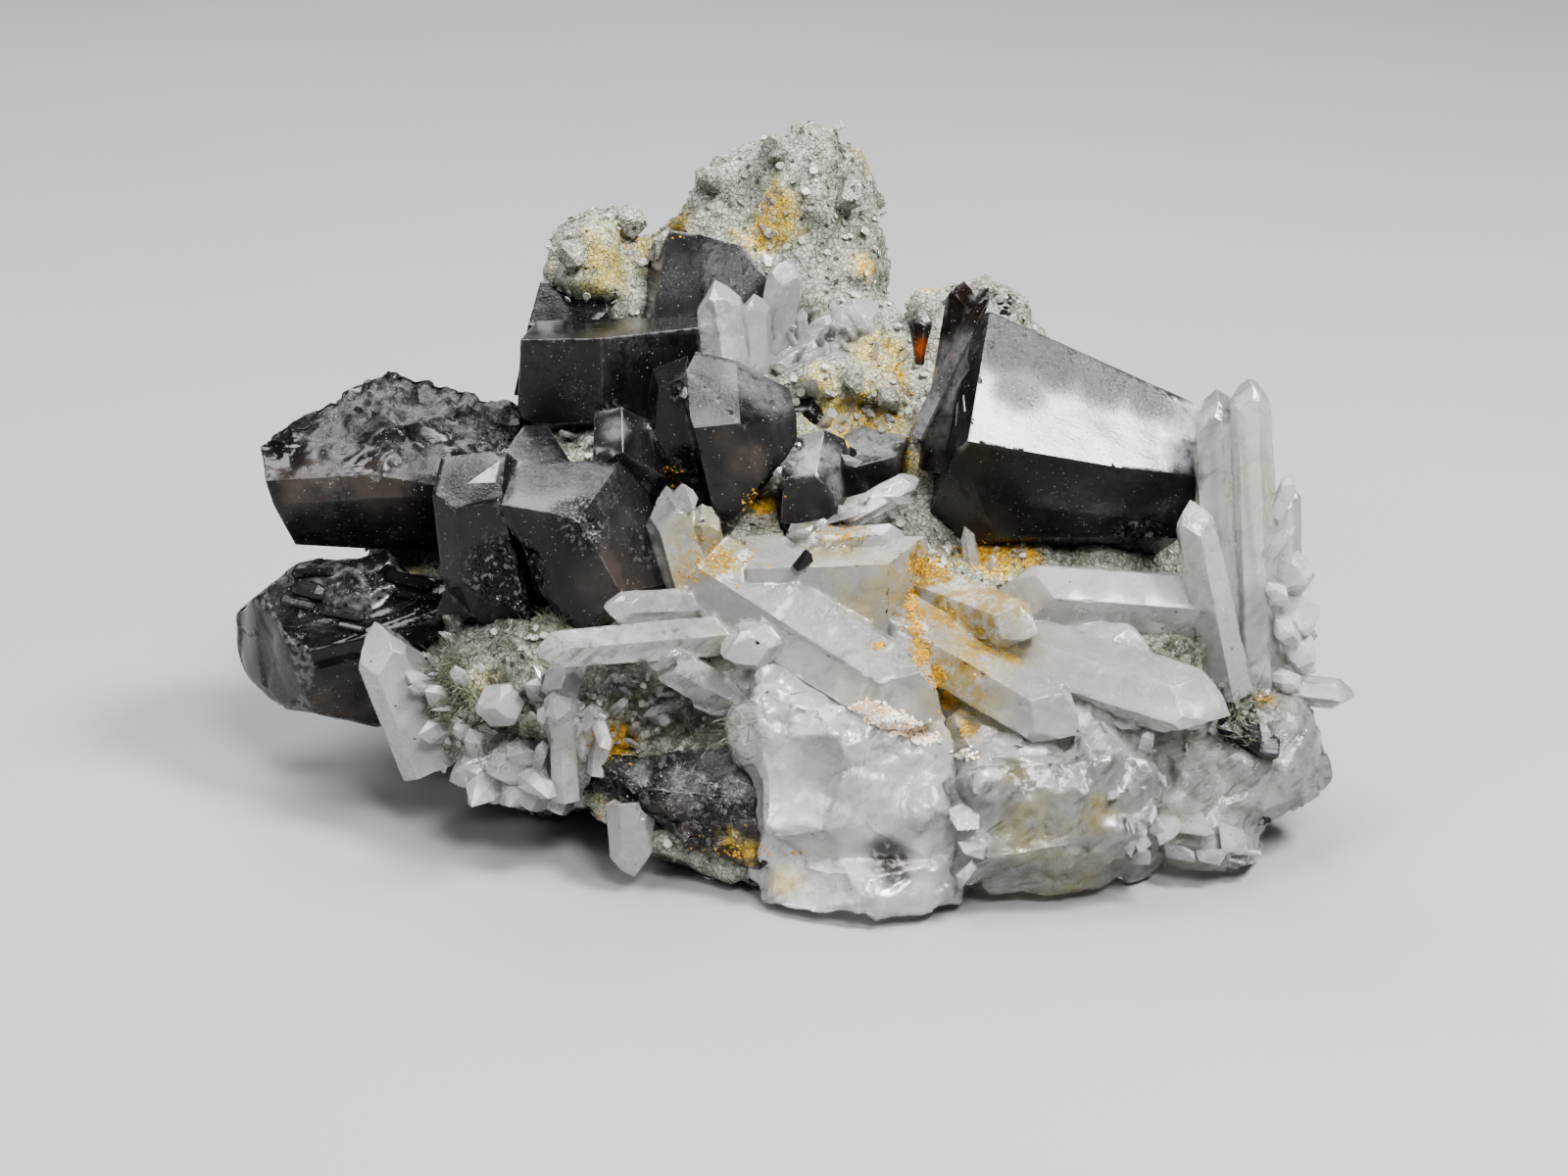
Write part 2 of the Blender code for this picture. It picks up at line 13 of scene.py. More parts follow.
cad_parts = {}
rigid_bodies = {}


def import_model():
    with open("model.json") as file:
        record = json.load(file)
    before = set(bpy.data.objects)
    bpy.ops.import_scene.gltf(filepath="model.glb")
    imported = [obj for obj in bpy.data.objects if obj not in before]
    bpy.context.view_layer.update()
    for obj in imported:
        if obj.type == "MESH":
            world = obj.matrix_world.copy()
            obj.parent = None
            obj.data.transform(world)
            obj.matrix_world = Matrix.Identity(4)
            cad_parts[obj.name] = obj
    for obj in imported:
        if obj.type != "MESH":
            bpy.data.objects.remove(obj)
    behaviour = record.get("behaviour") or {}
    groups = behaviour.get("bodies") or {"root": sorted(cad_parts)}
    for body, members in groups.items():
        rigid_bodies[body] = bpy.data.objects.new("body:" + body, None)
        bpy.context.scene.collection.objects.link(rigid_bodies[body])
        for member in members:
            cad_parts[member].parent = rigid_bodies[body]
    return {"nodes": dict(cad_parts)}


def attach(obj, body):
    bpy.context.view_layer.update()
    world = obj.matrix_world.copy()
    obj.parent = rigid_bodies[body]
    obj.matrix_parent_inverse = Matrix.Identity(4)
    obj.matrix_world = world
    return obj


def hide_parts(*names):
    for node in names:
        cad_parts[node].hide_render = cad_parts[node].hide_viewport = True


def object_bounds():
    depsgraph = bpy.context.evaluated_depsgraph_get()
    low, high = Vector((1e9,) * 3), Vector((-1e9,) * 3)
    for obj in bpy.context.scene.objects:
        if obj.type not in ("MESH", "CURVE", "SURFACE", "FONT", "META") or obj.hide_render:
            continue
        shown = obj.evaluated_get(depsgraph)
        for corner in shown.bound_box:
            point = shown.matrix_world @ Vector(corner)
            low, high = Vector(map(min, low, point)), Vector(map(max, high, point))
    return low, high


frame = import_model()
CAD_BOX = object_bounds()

bl_info = {
    "name": "Cassiterite Specimen",
    "version": (1, 0, 0),
    "blender": (4, 5, 0),
    "location": "3D View > Sidebar > Specimen",
    "description": "Builds the finish of a hand specimen of cassiterite with quartz on greisen",
    "category": "Add Mesh",
}

MM = 0.001
BODY = "root"

# The view of the photograph: where its camera stands, in millimetres, and how it is turned.
SHIFT = Vector((0.609, -2.622, 0.0))
EYE = Vector((0.0, -183.24, 80.44)) + SHIFT
TILT = math.radians(70.0)
LENS, SENSOR = 70.0, 36.0
NEAREST, FARTHEST = 0.01, 20.0
PHOTO_WIDTH, PHOTO_HEIGHT = 1600, 1200
RIGHT = Vector((1, 0, 0))
UPWARD = Vector((0, math.cos(TILT), math.sin(TILT)))
FORWARD = Vector((0, math.sin(TILT), -math.cos(TILT)))

BLACK_CRYSTALS = [
    "cassiterite_large", "cassiterite_front_twin", "cassiterite_centre",
    "cassiterite_back_block", "cassiterite_back_pyramid", "cassiterite_back_left",
    "cassiterite_left_large", "cassiterite_lower_left", "cassiterite_chip_left",
    "cassiterite_chip_right", "cassiterite_chip_back", "cassiterite_flat_plate",
    "cassiterite_front_broken",
]
BROWN_CRYSTALS = ["cassiterite_blades", "cassiterite_brown_wedge"]
BLACK_STUBS = ["tourmaline_stub"]
CLEAR_QUARTZ = [
    "quartz_spray_front", "quartz_spray_right", "quartz_spires", "quartz_hanging",
    "quartz_blunts_back", "quartz_sprig", "quartz_front_knob", "quartz_button",
]
MILKY_QUARTZ = ["quartz_blade_left", "quartz_druse_left"]
BROKEN_QUARTZ = ["quartz_bluff", "quartz_boulder", "quartz_corner"]
GROWTH_ORDER = BLACK_CRYSTALS + BROWN_CRYSTALS + BLACK_STUBS + MILKY_QUARTZ + CLEAR_QUARTZ + BROKEN_QUARTZ

# The widest gap, in millimetres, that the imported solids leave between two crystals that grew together.
SEAM = 0.36

# The angle, in degrees, from which an edge is drawn sharp, for pieces from crisp to smooth.
FACETED, SPLINTERED, CHIPPED, WORN, ROUNDED, SMOOTH = 12.0, 15.0, 20.0, 35.0, 60.0, 180.0

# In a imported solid, corners closer than the first, in metres, are one corner, and faces that turn by less
# than the second, in degrees, are one plane.
SAME_CORNER, SAME_PLANE = 2e-6, 0.8

# An edge is worn where its faces turn by more than the first, in degrees, and where it is longer and its
# faces are larger than the others, in widths and squared widths of the worn strip.
WORN_TURN, WORN_LENGTH, WORN_AREA = 14.0, 4, 40
MOST_SPLITS = 9  # times that a long edge is halved

# Between these, in millimetres, an effect sets in: over the height of the left crystal's melted top, along
# the broken end and the rounded end of the crystal below it, over the rock's foot, and towards the back.
MELTED_TOP, BROKEN_END, ROUNDED_END = (20.5, 23.0), (-29.0, -24.0), (-28.0, -23.0)
ROCK_FOOT, BACK = (0.05, 1.2), (-4.0, 8.0)

CLEARANCE = 0.12  # millimetres from a surface that count as off it
AXIS_SIDE = Vector((0.31, -0.52, 0.79))  # the side to which the axes of growth faces point


class SpecimenSettings(bpy.types.PropertyGroup):
    """The sizes and colours of the specimen's finish."""

    rock_mesh: FloatProperty(
        name="Rock mesh", description="Spacing of the rock's surface points",
        default=0.0004, min=0.0002, max=0.002, subtype="DISTANCE", unit="LENGTH")
    grain_size: FloatProperty(
        name="Grain size", description="Width of a mineral grain in the rock",
        default=0.0013, min=0.0003, max=0.005, subtype="DISTANCE", unit="LENGTH")
    grain_relief: FloatProperty(
        name="Grain relief", description="Height of the rock's grains",
        default=0.00022, min=0.0, max=0.002, subtype="DISTANCE", unit="LENGTH")
    crystal_mesh: FloatProperty(
        name="Crystal mesh", description="Spacing of the black crystals' surface points",
        default=0.0005, min=0.0001, max=0.002, subtype="DISTANCE", unit="LENGTH")
    edge_width: FloatProperty(
        name="Edge width", description="Width of the worn edge between two growth faces",
        default=0.00011, min=0.0, max=0.001, subtype="DISTANCE", unit="LENGTH")
    crystal_colour: FloatVectorProperty(
        name="Cassiterite", description="Colour of the black crystals", size=3,
        default=(0.007, 0.0065, 0.0065), min=0.0, max=1.0, subtype="COLOR")
    brown_colour: FloatVectorProperty(
        name="Brown cassiterite", description="Colour of the crystals where they are thin", size=3,
        default=(0.075, 0.026, 0.009), min=0.0, max=1.0, subtype="COLOR")
    quartz_colour: FloatVectorProperty(
        name="Quartz", description="Colour of the clear quartz", size=3,
        default=(0.95, 0.945, 0.94), min=0.0, max=1.0, subtype="COLOR")
    rock_colour: FloatVectorProperty(
        name="Greisen", description="Middle colour of the rock", size=3,
        default=(0.33, 0.335, 0.285), min=0.0, max=1.0, subtype="COLOR")
    ochre_colour: FloatVectorProperty(
        name="Limonite", description="Colour of the ochre crust", size=3,
        default=(0.56, 0.31, 0.03), min=0.0, max=1.0, subtype="COLOR")
    floor_colour: FloatVectorProperty(
        name="Floor", description="Colour of the surface the specimen stands on", size=3,
        default=(0.36, 0.36, 0.36), min=0.0, max=1.0, subtype="COLOR")
    seed: IntProperty(
        name="Seed", description="Start value of the scattered crumbs and crystals", default=11, min=0)


def points_of(mesh):
    """A mesh's corners in millimetres."""
    flat = np.empty(len(mesh.vertices) * 3, np.float32)
    mesh.vertices.foreach_get("co", flat)
    return flat.reshape(-1, 3).astype(float) / MM


def normals_of(mesh):
    """A mesh's normals at its corners."""
    flat = np.empty(len(mesh.vertices) * 3, np.float32)
    mesh.vertices.foreach_get("normal", flat)
    return flat.reshape(-1, 3).astype(float)


def triangles_of(mesh):
    """The corner numbers of a mesh's triangles."""
    mesh.calc_loop_triangles()
    flat = np.empty(len(mesh.loop_triangles) * 3, np.int32)
    mesh.loop_triangles.foreach_get("vertices", flat)
    return flat.reshape(-1, 3)


def place_points(mesh, points):
    """Moves a mesh's corners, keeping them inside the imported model's box."""
    low = np.array(CAD_BOX[0]) / MM
    high = np.array(CAD_BOX[1]) / MM
    kept = np.clip(points, low, high)
    mesh.vertices.foreach_set("co", (kept * MM).astype(np.float32).ravel())
    mesh.update()


def noise_start(seed):
    """Where in the endless noise a seed begins."""
    return Vector((seed * 7.31, seed * 3.17, seed * 5.73))


def wave(points, size, seed=0.0):
    """Smooth noise of about -1 to 1, with features of the given size in millimetres."""
    start = noise_start(seed)
    return np.array([noise.noise(Vector(p) / size + start) for p in points])


def drift(points, size, seed):
    """A smooth wander of the points in all three directions."""
    return np.stack([wave(points, size, seed + k) for k in range(3)], axis=1)


def cracks(points, size, seed=0.0):
    """Each point's distances to the two nearest grain centres, the nearest centre and the way from it."""
    start = noise_start(seed)
    found = [noise.voronoi(Vector(p) / size + start) for p in points]
    near = np.array([f[0][0] for f in found])
    second = np.array([f[0][1] for f in found])
    centres = np.array([f[1][0] for f in found])
    inside = np.array([p / size + np.array(start) for p in points]) - centres
    return near, second, centres, inside


def cell_values(centres, seed=0.0):
    """Three steady random numbers of -1 to 1 for each grain centre."""
    return np.array([noise.cell_vector(Vector(c) * 31.7 + Vector((seed,) * 3)) for c in centres]) * 2 - 1


def smooth_step(values, low, high):
    """0 below low, 1 above high and a soft rise between."""
    share = np.clip((values - low) / (high - low), 0, 1)
    return share * share * (3 - 2 * share)


def whole_faces(node):
    """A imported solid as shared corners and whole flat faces."""
    bm = bmesh.new()
    bm.from_mesh(frame["nodes"][node].data)
    bmesh.ops.remove_doubles(bm, verts=bm.verts, dist=SAME_CORNER)
    bmesh.ops.dissolve_limit(bm, angle_limit=math.radians(SAME_PLANE), verts=bm.verts, edges=bm.edges)
    bm.normal_update()
    return bm


def tree_of(nodes):
    """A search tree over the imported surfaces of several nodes, in metres."""
    corners, faces = [], []
    for node in nodes:
        mesh = frame["nodes"][node].data
        start = len(corners)
        corners.extend(v.co.copy() for v in mesh.vertices)
        faces.extend([start + i for i in p.vertices] for p in mesh.polygons)
    return BVHTree.FromPolygons(corners, faces)


def hug(mesh, nodes, far, overlap, near=SEAM):
    """Draws a surface onto the crystals it grew round: fully up to near, less and less up to far."""
    if not nodes:
        return
    tree = tree_of(nodes)
    points = points_of(mesh)
    for i, point in enumerate(points):
        found, _, _, distance = tree.find_nearest(Vector(point) * MM, far * MM)
        if found is None or distance < 1e-7:
            continue
        gap = distance / MM
        share = 1 - min(max((gap - near) / (far - near), 0), 1)
        step = np.array(found) / MM - point
        points[i] = point + step * share * (1 + overlap / gap)
    place_points(mesh, points)


def remeshed(name, bm, spacing):
    """The mesh of a solid, rebuilt from evenly spaced points."""
    source = bpy.data.meshes.new(name)
    bm.to_mesh(source)
    obj = bpy.data.objects.new(name, source)
    bpy.context.scene.collection.objects.link(obj)
    fuse = obj.modifiers.new("even", "REMESH")
    fuse.mode = "VOXEL"
    fuse.voxel_size = spacing
    bpy.context.view_layer.update()
    graph = bpy.context.evaluated_depsgraph_get()
    even = bpy.data.meshes.new_from_object(obj.evaluated_get(graph))
    bpy.data.objects.remove(obj)
    bpy.data.meshes.remove(source)
    even.name = name
    even.materials.clear()
    return even


def eased(mesh, points, times, share=1.0):
    """Points drawn towards the middle of their neighbours, which rounds edges and corners."""
    pairs = np.empty(len(mesh.edges) * 2, np.int32)
    mesh.edges.foreach_get("vertices", pairs)
    first, last = pairs.reshape(-1, 2).T
    ends, others = np.concatenate([first, last]), np.concatenate([last, first])
    count = np.bincount(ends, minlength=len(points))[:, None]
    for _ in range(times):
        total = np.stack([np.bincount(ends, points[others, k], len(points)) for k in range(3)], axis=1)
        points = points + (total / count - points) * 0.5 * share
    return points


def face_axes(face):
    """The direction of a face's longest edge and the one across it."""
    edge = max(face.edges, key=lambda e: e.calc_length())
    along = (edge.verts[1].co - edge.verts[0].co).normalized()
    if along.dot(AXIS_SIDE) < 0:
        along.negate()
    return along, face.normal.cross(along)


def lay_out_faces(mesh, bm):
    """Stores, for each face, how far it lies along and across the growth face that it is on."""
    axes = np.array([[*face_axes(face)] for face in bm.faces])
    tree = BVHTree.FromBMesh(bm)
    nearest = np.array([tree.find_nearest(polygon.center)[2] or 0 for polygon in mesh.polygons])
    sizes = np.empty(len(mesh.polygons), np.int32)
    mesh.polygons.foreach_get("loop_total", sizes)
    face = np.repeat(nearest, sizes)
    corner = np.empty(len(mesh.loops), np.int32)
    mesh.loops.foreach_get("vertex_index", corner)
    place = points_of(mesh)[corner]
    values = np.stack([(place * axes[face, 0]).sum(1), (place * axes[face, 1]).sum(1), face * 4.0], axis=1)
    layer = mesh.attributes.new("growth_face", "FLOAT_VECTOR", "CORNER")
    layer.data.foreach_set("vector", values.astype(np.float32).ravel())


def set_zone(mesh, name, values):
    """Stores one number of 0 to 1 at each corner, for the materials to read."""
    layer = mesh.attributes.get(name) or mesh.attributes.new(name, "FLOAT", "POINT")
    layer.data.foreach_set("value", np.clip(values, 0, 1).astype(np.float32))


def soft_spots(points, spots):
    """How far each point lies inside soft round spots of (x, y, z, radius, strength)."""
    total = np.zeros(len(points))
    for x, y, z, radius, strength in spots:
        distance = np.linalg.norm(points - np.array((x, y, z)), axis=1)
        total = np.maximum(total, strength * (1 - smooth_step(distance, 0.35 * radius, radius)))
    return total


def dress(name, mesh, finish, sharp, replaced=()):
    """Makes the object of a finished mesh, with edges sharp from an angle, and ties it to the frame."""
    mesh.materials.clear()
    mesh.materials.append(bpy.data.materials[finish])
    mesh.shade_smooth()
    mesh.set_sharp_from_angle(angle=math.radians(sharp))
    obj = bpy.data.objects.new(name, mesh)
    bpy.context.scene.collection.objects.link(obj)
    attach(obj, BODY)
    if replaced:
        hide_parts(*replaced)
        obj["specimen_piece"] = True
    return obj


class Heap:
    """Many small shapes that become one mesh."""

    def __init__(self):
        self.corners = []
        self.faces = []
        self.count = 0

    def add(self, corners, faces):
        """Adds one shape; its corners are in millimetres."""
        self.corners.append(corners)
        self.faces.extend([[self.count + i for i in face] for face in faces])
        self.count += len(corners)

    def mesh(self, name):
        """The joined mesh."""
        mesh = bpy.data.meshes.new(name)
        points = np.concatenate(self.corners)
        mesh.from_pydata((points * MM).tolist(), [], self.faces)
        place_points(mesh, points)
        return mesh


def turned(normal, rng, lean):
    """Axes whose third points along the normal, leaning by up to the given angle."""
    aside = Vector(rng.normal(0, 1, 3)).normalized()
    third = Vector(normal) + aside * math.tan(math.radians(lean)) * rng.random()
    third.normalize()
    side = third.cross(Vector(rng.normal(0, 1, 3))).normalized()
    return np.array([side, third.cross(side), third])


def hull_shape(points):
    """The corners and faces of the hull round some points."""
    bm = bmesh.new()
    for point in points:
        bm.verts.new(point)
    made = bmesh.ops.convex_hull(bm, input=bm.verts)
    loose = {v for v in made["geom_interior"] + made["geom_unused"] if isinstance(v, bmesh.types.BMVert)}
    bmesh.ops.delete(bm, geom=list(loose), context="VERTS")
    bm.verts.index_update()
    corners = np.array([v.co for v in bm.verts])
    faces = [[v.index for v in face.verts] for face in bm.faces]
    bm.free()
    return corners, faces


def chip_shapes(rng, count, points):
    """Angular chips about one unit across."""
    shapes = []
    for _ in range(count):
        ways = rng.normal(0, 1, (points, 3))
        ways /= np.linalg.norm(ways, axis=1)[:, None]
        shapes.append(hull_shape(ways * 0.5 * rng.uniform(0.75, 1.0, (points, 1))))
    return shapes


def sides(count, start=0):
    """The faces between two rings of corners, of which the second follows the first."""
    steps = [(start + i, start + (i + 1) % count) for i in range(count)]
    return [[first, last, last + count, first + count] for first, last in steps]


def crystal_shape(rng, slim):
    """A six-sided quartz crystal one unit long, with a point whose faces are of unlike size."""
    width = slim * rng.uniform(0.8, 1.2)
    turn = np.arange(6) * math.pi / 3
    ring = np.stack([np.cos(turn), np.sin(turn) * rng.uniform(0.7, 1.0)], axis=1) * width / 2
    low = np.column_stack([ring * 1.08, np.full(6, -0.35)])
    high = np.column_stack([ring * 0.94, 1.0 - width * rng.uniform(0.45, 0.95, 6)])
    apex = np.array([[rng.uniform(-0.12, 0.12) * width, rng.uniform(-0.12, 0.12) * width, 1.0]])
    tips = [[6 + i, 6 + (i + 1) % 6, 12] for i in range(6)]
    return np.concatenate([low, high, apex]), sides(6) + tips + [[5, 4, 3, 2, 1, 0]]


def flake_shape(rng):
    """A thin six-sided plate one unit across."""
    turn = np.arange(6) * math.pi / 3 + rng.uniform(-0.2, 0.2, 6)
    ring = np.stack([np.cos(turn), np.sin(turn)], axis=1) * 0.5 * rng.uniform(0.7, 1.0, (6, 1))
    low = np.column_stack([ring, np.full(6, -0.05)])
    high = np.column_stack([ring * 0.96, np.full(6, 0.05)])
    return np.concatenate([low, high]), sides(6) + [[5, 4, 3, 2, 1, 0], [6, 7, 8, 9, 10, 11]]


def needle_shape(rng):
    """A thin, slightly bent needle one unit long."""
    turn = np.arange(3) * 2 * math.pi / 3
    ring = np.stack([np.cos(turn), np.sin(turn)], axis=1) * 0.5
    bend = rng.uniform(-0.08, 0.08, 2)
    low = np.column_stack([ring, np.full(3, -0.1)])
    high = np.column_stack([ring * 0.8, np.full(3, 0.6)])
    high[:, :2] += bend * 10
    tip = np.array([[bend[0] * 26, bend[1] * 26, 1.0]])
    tips = [[3 + i, 3 + (i + 1) % 3, 6] for i in range(3)]
    return np.concatenate([low, high, tip]), sides(3) + tips + [[2, 1, 0]]


def surface_samples(names, count, rng):
    """Random places on finished pieces, spread evenly by area, with their normals."""
    centres, normals, areas = [], [], []
    for name in names:
        mesh = bpy.data.objects[name].data
        points, corners = points_of(mesh), triangles_of(mesh)
        a, b, c = (points[corners[:, k]] for k in range(3))
        cross = np.cross(b - a, c - a)
        area = np.linalg.norm(cross, axis=1)
        centres.append((a + b + c) / 3)
        normals.append(cross / np.maximum(area, 1e-9)[:, None])
        areas.append(area)
    centres, normals, areas = np.concatenate(centres), np.concatenate(normals), np.concatenate(areas)
    chosen = rng.choice(len(areas), count, p=areas / areas.sum())
    return centres[chosen], normals[chosen]


def open_air(points, normals, tree, reach):
    """Which places have nothing in front of them within the given reach."""
    free = []
    for point, normal in zip(points, normals):
        start = Vector(point) + Vector(normal) * CLEARANCE
        free.append(tree.ray_cast(start, Vector(normal), reach)[0] is None)
    return np.array(free)


def aimed_samples(tree, spots, rng, clear_of=()):
    """Places that show in soft round spots of the photograph: px, py, half width, half height, count."""
    kept_off = tree_of(clear_of) if clear_of else None
    places = []
    for px, py, wide, high, count in spots:
        for _ in range(count):
            found = seen_at(tree, px + rng.normal(0, 0.5) * wide, py + rng.normal(0, 0.5) * high)
            if found is None:
                continue
            if kept_off and kept_off.find_nearest(found[0] * MM, CLEARANCE * MM)[0] is not None:
                continue
            places.append(found)
    return places


def scatter(places, shapes, rng, sizes, lean, sink=0.0):
    """Stands random shapes on places; sizes gives a random (x, y, z) size in millimetres."""
    heap = Heap()
    for point, normal in places:
        corners, faces = shapes[rng.integers(len(shapes))]
        axes = turned(normal, rng, lean)
        size = sizes(rng)
        heap.add((corners * size) @ axes + np.array(point) - axes[2] * sink * size[2], faces)
    return heap


def planted(tree, rows, rng, chips=(), heap=None):
    """Single crystals or chips: the foot's pixel, the lean right, up and forwards, the length and width."""
    heap = heap or Heap()
    for px, py, right, up, near, length, width in rows:
        found = seen_at(tree, px, py)
        if found is None:
            continue
        axis = (RIGHT * right + UPWARD * up - FORWARD * near).normalized()
        side = axis.cross(Vector(rng.normal(0, 1, 3))).normalized()
        if chips:
            corners, faces = chips[rng.integers(len(chips))]
            corners = (corners + np.array((0, 0, 0.25))) * (width / length, width * 0.7 / length, 1.0)
        else:
            corners, faces = crystal_shape(rng, width / length)
        heap.add(corners * length @ np.array([side, axis.cross(side), axis]) + np.array(found[0]), faces)
    return heap


def ray_of(px, py):
    """The start and direction of the view through one of the photograph's pixels, in millimetres."""
    focal = LENS / SENSOR * PHOTO_WIDTH
    x, y = (px - PHOTO_WIDTH / 2) / focal, (PHOTO_HEIGHT / 2 - py) / focal
    return EYE, (FORWARD + RIGHT * x + UPWARD * y).normalized()


TREES = {}


def surface_tree(names):
    """A search tree over finished pieces, in millimetres; each is made once."""
    key = tuple(names)
    if key not in TREES:
        corners, faces, start = [], [], 0
        for name in names:
            mesh = bpy.data.objects[name].data
            corners.append(points_of(mesh))
            faces.append(triangles_of(mesh) + start)
            start += len(mesh.vertices)
        TREES[key] = BVHTree.FromPolygons(np.concatenate(corners).tolist(), np.concatenate(faces).tolist())
    return TREES[key]


def all_pieces():
    """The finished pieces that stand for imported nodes."""
    return [obj.name for obj in bpy.data.objects if obj.get("specimen_piece")]


def seen_at(tree, px, py):
    """The point and normal of the surface that shows at a pixel, or None."""
    start, way = ray_of(px, py)
    point, normal, _, _ = tree.ray_cast(start, way)
    return None if point is None else (point, normal)


class NodeTree:
    """Adds shader nodes to a tree and wires them."""

    def __init__(self, tree):
        self.tree = tree
        self.column = 0

    def add(self, kind, values=(), **settings):
        """One node, with settings and with input values or links by name or number."""
        node = self.tree.nodes.new(kind)
        self.column += 1
        node.location = (self.column * 190 - 3000, -(self.column % 5) * 260)
        for name, value in settings.items():
            setattr(node, name, value)
        for name, value in dict(values).items():
            self.put(node.inputs[name], value)
        return node

    def put(self, socket, value):
        """Links a socket, or sets its value."""
        if isinstance(value, bpy.types.NodeSocket):
            self.tree.links.new(value, socket)
        elif socket.type == "RGBA" and len(value) == 3:
            socket.default_value = (*value, 1.0)
        else:
            socket.default_value = value

    def math(self, operation, a, b=0.0, clamp=False):
        return self.add("ShaderNodeMath", {0: a, 1: b}, operation=operation, use_clamp=clamp).outputs[0]

    def times(self, a, b, clamp=False):
        return self.math("MULTIPLY", a, b, clamp)

    def mix(self, share, a, b):
        return self.add("ShaderNodeMix", {0: share, 6: a, 7: b}, data_type="RGBA").outputs[2]

    def tint(self, colour, mask, strength, other):
        """A colour, with another laid over it where a mask is, at most at the given strength."""
        return self.mix(self.times(mask, strength), colour, other)

    def mix_value(self, share, a, b):
        return self.add("ShaderNodeMix", {0: share, 2: a, 3: b}, data_type="FLOAT").outputs[0]

    def span(self, value, low, high, out_low=0.0, out_high=1.0):
        """A value's range moved to another, with soft ends."""
        made = self.add(
            "ShaderNodeMapRange", {0: value, 1: low, 2: high, 3: out_low, 4: out_high},
            interpolation_type="SMOOTHSTEP")
        return made.outputs[0]

    def ramp(self, value, stops):
        """A colour ramp of (place, colour) stops."""
        node = self.add("ShaderNodeValToRGB", {0: value})
        elements = node.color_ramp.elements
        while len(elements) < len(stops):
            elements.new(1.0)
        for element, (place, colour) in zip(elements, stops):
            element.position = place
            element.color = (*colour, 1.0)
        return node.outputs[0]

    def noise(self, vector, scale, detail=3.0, rough=0.55, distortion=0.0):
        """Noise with features of about 1/scale of the coordinate's unit."""
        values = {"Scale": scale, "Detail": detail, "Roughness": rough, "Distortion": distortion}
        return self.add("ShaderNodeTexNoise", {"Vector": vector, **values}).outputs[0]

    def patches(self, vector, low, high, *shape, out=(0.0, 1.0)):
        """Soft patches of noise between two limits; shape is the noise's scale, detail and so on."""
        return self.span(self.noise(vector, *shape), low, high, *out)

    def cells(self, vector, scale, feature="F1"):
        """The node of a grain pattern."""
        return self.add("ShaderNodeTexVoronoi", {"Vector": vector, "Scale": scale}, feature=feature)

    def group(self, name, values):
        """Places a shared node group."""
        node = self.add("ShaderNodeGroup")
        node.node_tree = bpy.data.node_groups[name]
        for key, value in values.items():
            self.put(node.inputs[key], value)
        return node

    def three(self, colour):
        """A colour's red, green and blue as values."""
        return self.add("ShaderNodeSeparateColor", {0: colour}).outputs

    def zone(self, name):
        """A number stored on the mesh."""
        return self.add("ShaderNodeAttribute", attribute_name=name).outputs["Fac"]


def new_group(name, inputs, outputs):
    """A shader node group with named sockets, and its tree's helper."""
    tree = bpy.data.node_groups.new(name, "ShaderNodeTree")
    for socket, kind, default in inputs:
        made = tree.interface.new_socket(socket, in_out="INPUT", socket_type="NodeSocket" + kind)
        if default is not None:
            made.default_value = default
    for socket, kind in outputs:
        tree.interface.new_socket(socket, in_out="OUTPUT", socket_type="NodeSocket" + kind)
    nodes = NodeTree(tree)
    start = nodes.add("NodeGroupInput")
    end = nodes.add("NodeGroupOutput")
    return nodes, start.outputs, end


def millimetres(nodes):
    """The place on the object, in millimetres."""
    place = nodes.add("ShaderNodeTexCoord").outputs["Object"]
    return nodes.add("ShaderNodeVectorMath", {0: place, 3: 1000.0}, operation="SCALE").outputs[0]


YELLOW_OCHRE, RUST, OCHRE_FILM = (0.74, 0.50, 0.09), (0.30, 0.12, 0.03), (0.87, 0.69, 0.13)
DARK_GRAIN, ROCK_CHLORITE, GRAIN_JOINT = (0.035, 0.040, 0.030), (0.105, 0.125, 0.075), (0.09, 0.085, 0.07)
DULL_FACE, GROWTH_LINE, SMUDGE = (0.040, 0.037, 0.037), (0.055, 0.053, 0.056), (0.075, 0.070, 0.066)
# The edges' grey is partly wear and partly a painted edge glint; the grit's grey is partly crushed grit and
# partly painted glitter.
EDGE_WEAR_AND_GLINT, ETCHED_FACE, GRIT_AND_GLITTER_GREY = (0.20, 0.20, 0.205), (0.125, 0.13, 0.145), (0.22, 0.215, 0.21)
# The light grey of a painted sheen, and the pale dust.
PAINTED_SHEEN_GREY, CRYSTAL_DUST = (0.50, 0.505, 0.52), (0.34, 0.335, 0.32)
QUARTZ_CLOUD, WARM_CLOUD, INCLUSION = (0.98, 0.96, 0.955), (0.88, 0.83, 0.82), (0.055, 0.042, 0.036)
QUARTZ_FIBRE, QUARTZ_CHLORITE, QUARTZ_DUST = (0.11, 0.135, 0.11), (0.30, 0.34, 0.26), (0.10, 0.10, 0.085)
QUARTZ_DEPTH = (0.78, 0.79, 0.765)
BLACK_TOURMALINE, GREY_TOURMALINE = (0.012, 0.014, 0.016), (0.035, 0.040, 0.045)

ROCK_IOR, TOURMALINE_IOR, QUARTZ_IOR, PLAIN_IOR = 1.54, 1.64, 1.544, 1.5
BLACK_IOR = 1.42  # lower than the mineral's own, as its faces are dulled by etching

# The thin parts of a black crystal, how much lighter its deeper parts are than its body, and an amber
# crystal's body, deeper parts and thin parts.
BLACK_WARM, DEEPER = (0.082, 0.063, 0.050), 2.4
AMBER = (0.010, 0.006, 0.004), (0.020, 0.012, 0.008), (0.50, 0.11, 0.014)

